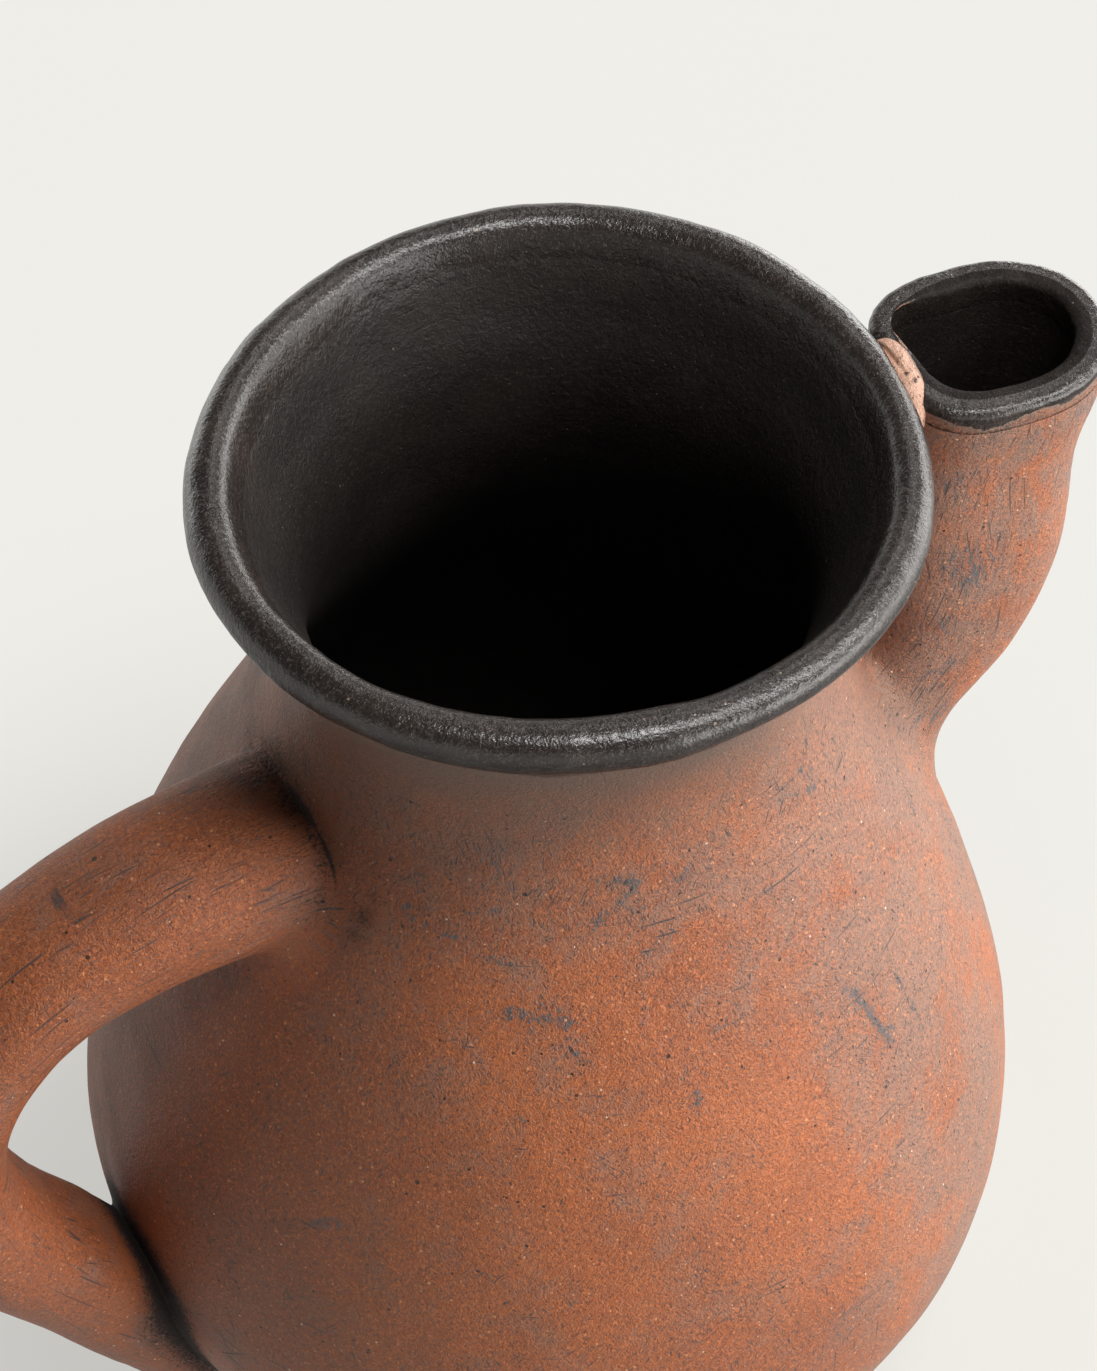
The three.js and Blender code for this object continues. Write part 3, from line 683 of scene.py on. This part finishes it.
def build_lip(material):
    seat = LIP_TOP - LIP_HEIGHT
    mouth = spout_stations()[1]
    turns = -np.linspace(0, 2 * math.pi, 260, endpoint=False)
    outer_r, inner_r = 1.9, 1.7

    def rounded(x, radius, first, last, count):
        turns_here = np.linspace(first, last, count)
        return [(x + radius * math.cos(k), LIP_TOP - radius + radius * math.sin(k)) for k in turns_here]

    out_corner = rounded(LIP_OVERHANG - outer_r, outer_r, math.pi / 2, 0, 9)
    in_corner = rounded(-SPOUT_WALL + inner_r, inner_r, math.pi, math.pi / 2, 8)
    side = [(LIP_OVERHANG, LIP_TOP - 2.6), (LIP_OVERHANG - 0.02, LIP_TOP - 3.4), (LIP_OVERHANG - 0.08, LIP_TOP - 4.3),
            (LIP_OVERHANG - 0.18, LIP_TOP - 5.2), (1.26, seat), (-1.0, seat - 0.15), (-SPOUT_WALL, seat - 0.15)]
    bore = [(-SPOUT_WALL, seat + k) for k in (-0.08, 0, 0.8, 1.7, 2.6, 3.4)]
    crown = [(-SPOUT_WALL + inner_r + 0.75 * k, LIP_TOP + 0.12 * math.sin(math.pi * k / 4)) for k in (1, 2, 3)]
    section = np.array(out_corner + side + bore + in_corner + crown)
    grow, z = section[:, 0, None], section[:, 1, None]
    n = np.where(np.cos(turns) < 0, 2.9, 2.15)
    c, s = np.cos(turns), np.sin(turns)
    x = mouth[0] + (mouth[2] + grow) * np.sign(c) * np.abs(c) ** (2 / n)
    y = (mouth[3] + grow) * np.sign(s) * np.abs(s) ** (2 / n)
    place = np.stack([x, y, z + 0 * x], axis=-1)
    inner = smooth(-section[:, 0], 0.5, 3.3)[:, None, None]
    place = place + inner * (fuller_corner(place, turns, seat - 24, LIP_TOP) - place)
    upper = smooth(place[..., 2], seat + 0.5, LIP_TOP - 1)
    lumps = 0.28 * grain(place, 11, 21) + 0.16 * grain(place, 4, 22) + 0.09 * grain(place, 1.9, 23)
    marks = hand_marks(place) * (1 - upper) + upper * (lumps + 0.3 * grain(place, 30, 24))
    grid = hand_formed(place + grid_normals(place, True) * marks[..., None])
    normals = grid_normals(grid, True)
    drip = 2.3 * np.exp(-((place[..., 0] - 81) ** 2 + (place[..., 1] + 18) ** 2) / 14)
    slip = place[..., 2] - (LIP_TOP - 2.9) + drip
    slip = slip + 0.8 * grain(place, 5, 25) + 0.5 * grain(place, 2, 26) + 0.35 * grain(place, 1.1, 29)
    slip = np.where(slip < 0, 40 * slip, slip) + 21 * smooth(place[..., 2], LIP_TOP - 2.6, LIP_TOP - 0.9)
    slip[grow.ravel() < -2] = 60

    # A worn line along the bore's edge beside the lug
    line = np.abs(section[:, 0, None] + 3.5 - 0.5 * grain(place, 3, 43))
    here = smooth(-c, 0.25, 0.5) * smooth(s, -0.05, 0.15) * smooth(section[:, 1, None], LIP_TOP - 2, LIP_TOP - 1)
    slip = slip - 150 * here * np.exp(-((line / 0.5) ** 2)) * smooth(grain(place, 2.2, 44), -0.9, -0.3)
    lofted("spout_lip_slip", grid, normals, (place, place), slip, material, ["spout_lip"], True)


def build_lug(material):
    centre = np.array([RIM_RADIUS + 0.5, -1.7, RIM_HEIGHT + 3.6 - 8])
    rise = np.linspace(-0.5, 0.5, 62)[:, None] * math.radians(176)
    around = np.linspace(0, 2 * math.pi, 96, endpoint=False)

    def bend(v):
        return np.sign(v) * np.abs(v) ** (2 / 2.4)

    spread, lift = bend(np.cos(rise)), 8 * bend(np.sin(rise))
    along = spread * bend(np.sin(around))
    tail = smooth(-along, 0.2, 1)
    x = 4.2 * spread * bend(np.cos(around)) * (1 - 0.2 * tail) - 1.3 * tail
    lift = np.where(lift < 0, lift * (1 - 0.6 * tail), lift * (1 - 0.12 * tail)) + 0 * x
    place = np.stack([x, 11.2 * along, lift], axis=-1) + centre
    fold = -0.8 * np.exp(-((place[..., 0] - 69.0 + 0.06 * (place[..., 1] - 4)) / 0.45) ** 2)
    fold = fold * smooth(place[..., 2], 272, 276) * smooth(place[..., 1], -6, 0)
    marks = fold + 0.42 * grain(place, 7, 31) + 0.26 * grain(place, 3.4, 32) + 0.1 * grain(place, 1.6, 33)
    grid = hand_formed(place + grid_normals(place) * marks[..., None])
    normals = grid_normals(grid)
    slip = 16 * (place[..., 0] - 73.5) - 30 * smooth(np.abs(place[..., 1] + 1.5), 4, 8) - 8
    lofted("bridge_lug_clay", grid, normals, (place, place - (0, 0, 150)), slip, material, ["bridge_lug"])


# Materials
class Tree:
    def __init__(self, owner):
        owner.use_nodes = True
        self.nodes, self.links = owner.node_tree.nodes, owner.node_tree.links
        self.nodes.clear()

    def add(self, kind, settings=None, **inputs):
        node = self.nodes.new("ShaderNode" + kind)
        for key, value in (settings or {}).items():
            setattr(node, key, value)
        for key, value in inputs.items():
            self.put(node.inputs[int(key[1:]) if key[0] == "i" and key[1:].isdigit() else key.replace("_", " ")], value)
        return node

    def put(self, socket, value):
        if hasattr(value, "is_output"):
            self.links.new(value, socket)
        else:
            socket.default_value = value

    def sum(self, kind, *values, clamp=False):
        node = self.nodes.new("ShaderNodeMath")
        node.operation, node.use_clamp = kind, clamp
        for socket, value in zip(node.inputs, values):
            self.put(socket, value)
        return node.outputs[0]

    def noise(self, vector, scale, detail=2.0, rough=0.5, distortion=0.0):
        node = self.add("TexNoise", None, Vector=vector, Scale=scale, Detail=detail, Roughness=rough)
        node.inputs["Distortion"].default_value = distortion
        return node.outputs["Fac"]

    def step(self, value, low, high, to_low=0.0, to_high=1.0):
        node = self.add("MapRange", {"interpolation_type": "SMOOTHSTEP"}, Value=value)
        for key, number in (("From Min", low), ("From Max", high), ("To Min", to_low), ("To Max", to_high)):
            self.put(node.inputs[key], number)
        return node.outputs["Result"]

    def blend(self, share, low, high):
        node = self.nodes.new("ShaderNodeMix")
        node.data_type = "RGBA"
        self.put(node.inputs[0], share)
        for socket, value in ((node.inputs[6], low), (node.inputs[7], high)):
            self.put(socket, value if hasattr(value, "is_output") else (*value, 1))
        return node.outputs[2]

    def stretched(self, vector, scale, turn=(0, 0, 0)):
        return self.add("Mapping", None, Vector=vector, Scale=scale, Rotation=turn).outputs[0]

    def twisted(self, vector, per_metre):
        """Turns space about the jug's axis with height, so that strokes run round it on a slant."""
        height = self.add("SeparateXYZ", None, Vector=vector).outputs["Z"]
        angle = self.sum("MULTIPLY", height, per_metre)
        node = self.add("VectorRotate", {"rotation_type": "Z_AXIS"}, Vector=vector, Angle=angle)
        return node.outputs[0]

    def dots(self, vector, scale, radius, share, seed):
        """Scattered round marks: radius in cells, share of the cells that hold one."""
        moved = self.add("VectorMath", {"operation": "ADD"}, i0=vector, i1=(seed, seed * 0.7, -seed)).outputs[0]
        cell = self.add("TexVoronoi", {"feature": "F1"}, Vector=moved, Scale=scale)
        pick = self.add("SeparateColor", None, Color=cell.outputs["Color"])
        size = self.sum("MULTIPLY_ADD", pick.outputs[1], radius * 0.7, radius * 0.5)
        near = self.step(self.sum("DIVIDE", cell.outputs["Distance"], size), 0.7, 1.1, 1, 0)
        return self.sum("MULTIPLY", near, self.sum("LESS_THAN", pick.outputs[0], share))


CLAY, DEEP_CLAY = (0.44, 0.121, 0.036), (0.34, 0.093, 0.031)
SMOKE_AND_SHEEN_GREY, PAINTED_SHADE_BROWN = (0.25, 0.172, 0.138), (0.12, 0.045, 0.022)
LIGHT_GRAIN, DARK_GRAIN = (0.7, 0.235, 0.082), (0.115, 0.043, 0.026)
DULL_SPECK, BROWN_STROKE = (0.24, 0.13, 0.09), (0.15, 0.1, 0.082)
PALE_CLAY_AND_LIGHT, SLATE = (0.72, 0.43, 0.31), (0.085, 0.09, 0.098)
SCRATCH, SOOT_AND_SHADE = (0.05, 0.048, 0.05), (0.008, 0.007, 0.007)
GROG, GRIT, PIT = (0.8, 0.36, 0.17), (0.85, 0.66, 0.5), (0.02, 0.016, 0.015)
SMOKE, LIGHT_SMOKE = (0.15, 0.1, 0.077), (0.27, 0.182, 0.142)
SLIP, BROWN_SLIP = (0.019, 0.014, 0.0125), (0.032, 0.0235, 0.02)
SLIP_GRAIN, THROAT_PAINTED_SHADE = (0.085, 0.066, 0.058), (0.002, 0.0015, 0.001)
ROLL, THROAT = (15.5, 19), (27, 40)


def fired_clay(name, specular, pale_and_lit_share=0.0, shine=0.0):
    """Clay that turns to charcoal slip where slip_edge passes 0; ROLL and THROAT are ranges of slip_edge."""
    material = bpy.data.materials.new(name)
    t = Tree(material)
    place = t.add("TexCoord").outputs["Object"]
    straight = t.add("Attribute", {"attribute_type": "GEOMETRY", "attribute_name": "straight"}).outputs["Vector"]
    edge = t.add("Attribute", {"attribute_type": "GEOMETRY", "attribute_name": "slip_edge"}).outputs["Fac"]
    corner = t.add("Attribute", {"attribute_type": "GEOMETRY", "attribute_name": "soot_and_shade"}).outputs["Fac"]
    rub = t.add("Attribute", {"attribute_type": "GEOMETRY", "attribute_name": "rubbed"}).outputs["Fac"]
    slanted = t.twisted(straight, 6)
    counter = t.twisted(straight, -9)

    # Patterns, from broad clouds to the wormy grain of burnished clay
    broad = t.noise(place, 17, 2, 0.55)
    cloud = t.noise(place, 55, 4, 0.62, 0.3)
    worm = t.noise(place, 1500, 1.5, 0.6, 1.0)
    speck = t.noise(place, 2300, 0, 0.5)
    strokes = t.noise(t.stretched(slanted, (1700, 1700, 260)), 1, 1.5, 0.6)
    dry = t.noise(t.stretched(counter, (950, 950, 70)), 1, 2, 0.65)
    patch = t.noise(t.stretched(slanted, (70, 70, 34)), 1, 4, 0.62, 0.5)

    # Fired colour: orange clay, browner where smoke passed, greyed by painted sheen towards the spout side, darkened by
    # painted shade on the handle side, with lighter and darker grain
    colour = t.blend(t.step(broad, 0.36, 0.64), CLAY, DEEP_CLAY)
    film = t.sum("ADD", t.sum("MULTIPLY", cloud, 0.7), t.sum("MULTIPLY", dry, 0.3))
    film = t.sum("MULTIPLY_ADD", rub, 0.03, film)
    at = t.add("SeparateXYZ", None, Vector=place)
    up = t.add("SeparateXYZ", None, Vector=straight)
    # Painted sheen: besides the real smoke film, the grey grows towards the spout side (+X), standing in for the
    # windows' reflection there; it also greys with height
    smoke_and_sheen = t.sum("ADD", film, t.step(up.outputs["Z"], 0.155, 0.215, 0, 0.07))
    smoke_and_sheen = t.sum("ADD", smoke_and_sheen, t.step(at.outputs["X"], 0.01, 0.06, 0, 0.16))
    smoke_and_sheen = t.sum("ADD", smoke_and_sheen, t.step(at.outputs["X"], 0.074, 0.092, 0, -0.06))
    smoke_and_sheen = t.step(smoke_and_sheen, 0.47, 0.7)
    smoke_and_sheen = t.sum("MULTIPLY", smoke_and_sheen, t.step(at.outputs["X"], 0.01, 0.075, 0.62, 0.8))
    colour = t.blend(smoke_and_sheen, colour, SMOKE_AND_SHEEN_GREY)
    # Painted shade: the handle side of the wall (-X), above 6 cm, is darkened where the handle's shadow and the falloff
    # leave it dim
    handle_side_shade = t.sum("MULTIPLY", t.step(up.outputs["X"], -0.03, -0.085, 0, 0.42), t.step(up.outputs["Z"], 0.06, 0.12))
    colour = t.blend(handle_side_shade, colour, PAINTED_SHADE_BROWN)
    colour = t.blend(t.step(speck, 0.52, 0.8, 0, 0.45), colour, DULL_SPECK)
    colour = t.blend(t.step(worm, 0.52, 0.72, 0, 0.6), colour, LIGHT_GRAIN)
    colour = t.blend(t.step(worm, 0.48, 0.32, 0, 0.66), colour, DARK_GRAIN)
    colour = t.blend(t.step(strokes, 0.55, 0.72, 0, 0.45), colour, BROWN_STROKE)

    # Paler, pinker clay on the lug, partly painted light: the paleness also stands in for the bright highlight the lug
    # catches
    if pale_and_lit_share:
        colour = t.blend(pale_and_lit_share, colour, PALE_CLAY_AND_LIGHT)

    # Slate smoke caught as dry, torn rubbings
    torn = t.sum("ADD", t.sum("MULTIPLY", patch, 0.46), t.sum("MULTIPLY", dry, 0.22))
    torn = t.sum("MULTIPLY_ADD", strokes, 0.3, torn)
    torn = t.sum("MULTIPLY_ADD", worm, 0.36, torn)
    torn = t.sum("MULTIPLY_ADD", rub, 0.11, torn)
    slate = t.step(torn, 0.81, 0.87)
    colour = t.blend(t.sum("MULTIPLY", slate, 0.85), colour, SLATE)

    # Fine scratches in several directions, each in its own places, broken by the grain
    scratches = None
    broken = t.sum("MULTIPLY", t.sum("SUBTRACT", worm, 0.5), 0.3)
    for vector, scale, mask, low, high in (
        (slanted, (1900, 1900, 42), cloud, 0.46, 0.75), (counter, (1700, 1700, 48), patch, 0.46, 0.75),
        (straight, (2000, 2000, 50), broad, 0.47, 0.75), (place, (60, 60, 1700), cloud, 0.52, 0.75),
        (slanted, (800, 800, 120), patch, 0.53, 0.79),
    ):
        line = t.sum("ADD", t.noise(t.stretched(vector, scale), 1, 0, 0.5), broken)
        line = t.step(line, high, high + 0.05)
        line = t.sum("MULTIPLY", line, t.step(t.sum("MULTIPLY_ADD", rub, 0.1, mask), low, low + 0.08))
        scratches = line if scratches is None else t.sum("MAXIMUM", scratches, line)
    colour = t.blend(t.sum("MULTIPLY", scratches, 0.85), colour, SCRATCH)

    # Grog, pale grit and burnt-out pits
    grog = t.dots(place, 560, 0.19, 0.28, 0.9)
    pale = t.dots(place, 330, 0.085, 0.2, 2.3)
    often = t.sum("MULTIPLY_ADD", rub, 0.3, 0.2)
    pits = t.sum("MAXIMUM", t.dots(place, 420, 0.14, often, 5.1), t.dots(place, 140, 0.085, 0.16, 7.7))
    colour = t.blend(t.sum("MULTIPLY", grog, 0.6), colour, GROG)
    colour = t.blend(t.sum("MULTIPLY", pale, 0.85), colour, GRIT)
    colour = t.blend(t.sum("MULTIPLY", pits, 0.92), colour, PIT)

    # Soot and painted shade in the corners: the creases at the handle and spout roots are darkened as painted shade as
    # well as soot
    ragged = t.sum("MULTIPLY_ADD", t.sum("SUBTRACT", worm, 0.5), 0.9, corner)
    ragged = t.sum("MULTIPLY_ADD", t.sum("SUBTRACT", cloud, 0.5), 0.5, ragged)
    soot_and_shade_share = t.step(ragged, 0.12, 0.6, 0, 0.96)
    colour = t.blend(soot_and_shade_share, colour, SOOT_AND_SHADE)

    # Charcoal slip with a ragged edge, and a smoky band below it
    fray = t.sum("MULTIPLY_ADD", t.sum("SUBTRACT", film, 0.5), 13, edge)
    fray = t.sum("MULTIPLY_ADD", t.sum("SUBTRACT", worm, 0.5), 11, fray)
    slip = t.step(fray, -1.8, 0.6)
    smoky = t.step(t.sum("MULTIPLY_ADD", t.sum("SUBTRACT", broad, 0.5), 16, edge), -42, 0, 0, 1)
    smoke = t.blend(t.step(at.outputs["X"], 0, 0.05), SMOKE, LIGHT_SMOKE)
    colour = t.blend(smoky, colour, smoke)
    black = t.blend(t.step(cloud, 0.4, 0.7), SLIP, BROWN_SLIP)
    # Painted shade inside the jug: the lighter grain fades deeper in the throat
    black = t.blend(t.step(worm, 0.5, 0.72, 0, t.step(edge, *THROAT, 0.8, 0.4)), black, SLIP_GRAIN)
    black = t.blend(t.sum("MULTIPLY", grog, 0.3), black, (0.16, 0.1, 0.07))
    black = t.blend(t.sum("MULTIPLY", pale, 0.7), black, (0.4, 0.3, 0.22))
    # Painted shade: deeper in the throat the slip is darkened to near black
    black = t.blend(t.step(edge, *THROAT, 0, 0.45), black, THROAT_PAINTED_SHADE)
    colour = t.blend(slip, colour, black)

    # Gloss: burnished clay, silky where the slate was rubbed on, satin slip
    rough = t.sum("MULTIPLY_ADD", cloud, 0.24, 0.34 - shine)
    rough = t.sum("MULTIPLY_ADD", worm, 0.12, t.sum("MULTIPLY_ADD", slate, -0.06, rough))
    rough = t.sum("MULTIPLY_ADD", soot_and_shade_share, 0.3, rough)
    slip_rough = t.sum("MULTIPLY_ADD", worm, 0.2, t.step(edge, *THROAT, 0.24, 0.42))
    rough = t.add("Mix", {"data_type": "FLOAT"}, i0=slip, i2=rough, i3=slip_rough).outputs[0]

    # Relief in millimetres
    beads = t.noise(place, 760, 1, 0.5, 0.6)
    relief = t.sum("MULTIPLY_ADD", rub, 0.12, t.sum("MULTIPLY_ADD", slip, -0.16, 0.31))
    relief = t.sum("MULTIPLY", worm, relief)
    relief = t.sum("MULTIPLY_ADD", speck, t.sum("MULTIPLY_ADD", slip, -0.06, 0.09), relief)
    relief = t.sum("MULTIPLY_ADD", strokes, 0.08, relief)
    relief = t.sum("MULTIPLY_ADD", beads, t.sum("MULTIPLY_ADD", slip, 0.06, 0.1), relief)
    relief = t.sum("MULTIPLY_ADD", t.noise(place, 420, 1, 0.5), t.sum("MULTIPLY_ADD", slip, -0.08, 0.2), relief)
    relief = t.sum("MULTIPLY_ADD", pits, -0.3, relief)
    relief = t.sum("MULTIPLY_ADD", scratches, -0.08, relief)
    relief = t.sum("MULTIPLY_ADD", grog, 0.06, relief)
    bump = t.add("Bump", None, Height=relief, Strength=1.0, Distance=0.001)

    shader = t.add("BsdfPrincipled", None, Base_Color=colour, Roughness=rough, Normal=bump.outputs[0])
    shader.inputs["Specular IOR Level"].default_value = specular
    shader.inputs["Coat Roughness"].default_value = 0.27
    coated = t.sum("MULTIPLY", t.step(edge, *ROLL), t.step(edge, 27, 38, 1, 0))
    t.put(shader.inputs["Coat Weight"], t.sum("MULTIPLY", slip, coated))
    gentle = t.add("Bump", None, Height=relief, Strength=0.65, Distance=0.001)
    t.put(shader.inputs["Coat Normal"], gentle.outputs[0])
    t.links.new(shader.outputs[0], t.add("OutputMaterial").inputs["Surface"])
    return material


terracotta = fired_clay("terracotta", 0.45)
pale_and_lit_clay = fired_clay("pale_and_lit_terracotta", 0.45, pale_and_lit_share=0.7, shine=0.2)
black_slip = fired_clay("black_slip", 0.14)
for label, finish, slot in (
    ("foot_slab", terracotta, "terracotta"), ("wall_bowl", terracotta, "terracotta"),
    ("wall_belly", terracotta, "terracotta"), ("wall_haunch", terracotta, "terracotta"),
    ("wall_shoulder", terracotta, "terracotta"), ("neck_collar", terracotta, "terracotta"),
    ("rim_coil", black_slip, "black_slip"),
):
    wall_piece(label, finish)
build_handle(terracotta)
build_spout(terracotta)
build_lip(black_slip)
build_lug(pale_and_lit_clay)


# Stage: a pale floor that shows as the photograph's background and keeps a soft shadow
def shown_to_camera(tree):
    path = tree.add("LightPath")
    seen = tree.sum("MAXIMUM", path.outputs["Is Camera Ray"], path.outputs["Is Glossy Ray"])
    return tree.sum("MAXIMUM", seen, path.outputs["Is Transmission Ray"])


BACKDROP = (0.871, 0.863, 0.823, 1)
floor_material = bpy.data.materials.new("pale_floor")
t = Tree(floor_material)
reach = t.add("VectorMath", {"operation": "LENGTH"}, i0=t.add("NewGeometry").outputs["Position"]).outputs["Value"]
seen = t.sum("MULTIPLY", shown_to_camera(t), t.step(reach, 0.12, 0.27, 0.62, 0.97))
matte = t.add("BsdfDiffuse", None, Color=(0.62, 0.61, 0.585, 1))
glow = t.add("Emission", None, Color=BACKDROP, Strength=1.0)
mixed = t.add("MixShader", None, i0=seen, i1=matte.outputs[0], i2=glow.outputs[0])
t.links.new(mixed.outputs[0], t.add("OutputMaterial").inputs["Surface"])
size = 6.0
floor_mesh = bpy.data.meshes.new("floor")
floor_mesh.from_pydata([(-size, -size, 0), (size, -size, 0), (size, size, 0), (-size, size, 0)], [], [(0, 1, 2, 3)])
floor_mesh.materials.append(floor_material)
floor_object = bpy.data.objects.new("floor", floor_mesh)
bpy.context.scene.collection.objects.link(floor_object)

world = bpy.data.worlds.new("studio")
bpy.context.scene.world = world
t = Tree(world)
around_light = t.add("Background", None, Color=(1.0, 0.985, 0.96, 1), Strength=0.015)
backdrop = t.add("Background", None, Color=BACKDROP, Strength=1.0)
height = t.add("SeparateXYZ", None, Vector=t.add("TexCoord").outputs["Generated"]).outputs["Z"]
horizon = t.sum("MULTIPLY", shown_to_camera(t), t.step(height, 0.1, 0.4, 1, 0.04))
mixed = t.add("MixShader", None, i0=horizon, i1=around_light.outputs[0], i2=backdrop.outputs[0])
t.links.new(mixed.outputs[0], t.add("OutputWorld").inputs["Surface"])


def bearing(azimuth, elevation):
    a, e = math.radians(azimuth), math.radians(elevation)
    return math.cos(a) * math.cos(e), math.sin(a) * math.cos(e), math.sin(e)


def soft_box(name, towards, size, power, aim):
    data = bpy.data.lights.new(name, "AREA")
    data.shape, data.size, data.size_y = "RECTANGLE", *size
    data.energy, data.color = power, WINDOW_TINT
    ob = bpy.data.objects.new(name, data)
    ob.visible_camera = False
    bpy.context.scene.collection.objects.link(ob)
    back = unit(np.array(towards, float))
    place = np.array(aim) + back * LAMP_DISTANCE
    side = unit(np.cross((0, 0, 1), back))
    up = np.cross(back, side)
    ob.matrix_world = Matrix([[side[k], up[k], back[k], place[k]] for k in range(3)] + [[0, 0, 0, 1]])


# A long low window on the right, a key and a soft top light, and weak lights behind
WINDOW_TINT, LAMP_DISTANCE = (1.0, 0.99, 0.97), 1.0
BODY, MOUTH = (0, 0, 0.13), (0, 0, 0.26)
for label, towards, size, power, aim in (
    ("window_front", (-50, 9), (0.8, 0.5), 7.2, BODY),
    ("window_middle", (-2, 9), (0.8, 0.5), 4.0, BODY),
    ("window_back", (36, 8), (0.6, 0.4), 3.0, BODY),
    ("key", (-30, 44), (0.24, 0.38), 5.0, MOUTH),
    ("top", (-72, 69), (0.34, 0.26), 6.2, MOUTH),
    ("back_high", (12, 24), (0.34, 0.3), 2.0, MOUTH),
    ("back_top", (52, 52), (0.3, 0.3), 1.0, MOUTH),
    ("back_low", (110, 6), (0.6, 0.36), 1.0, BODY),
):
    soft_box(label, bearing(*towards), size, power, aim)

# The photograph's camera, fitted to the rim and the silhouette
camera_data = bpy.data.cameras.new("camera")
SENSOR, FOCAL_PIXELS, PHOTO_HEIGHT = 36, 3800, 1371
camera_data.sensor_width, camera_data.lens = SENSOR, FOCAL_PIXELS * SENSOR / PHOTO_HEIGHT
camera = bpy.data.objects.new("camera", camera_data)
right, up, forward = (0.91615, -0.40062, 0.01244), (0.30432, 0.71545, 0.62891), (0.26086, 0.57240, -0.77738)
place = (-0.19933, -0.43420, 0.80124)
camera.matrix_world = Matrix([[right[k], up[k], -forward[k], place[k]] for k in range(3)] + [[0, 0, 0, 1]])
bpy.context.scene.collection.objects.link(camera)
bpy.context.scene.camera = camera
bpy.context.scene.view_settings.view_transform = "Standard"
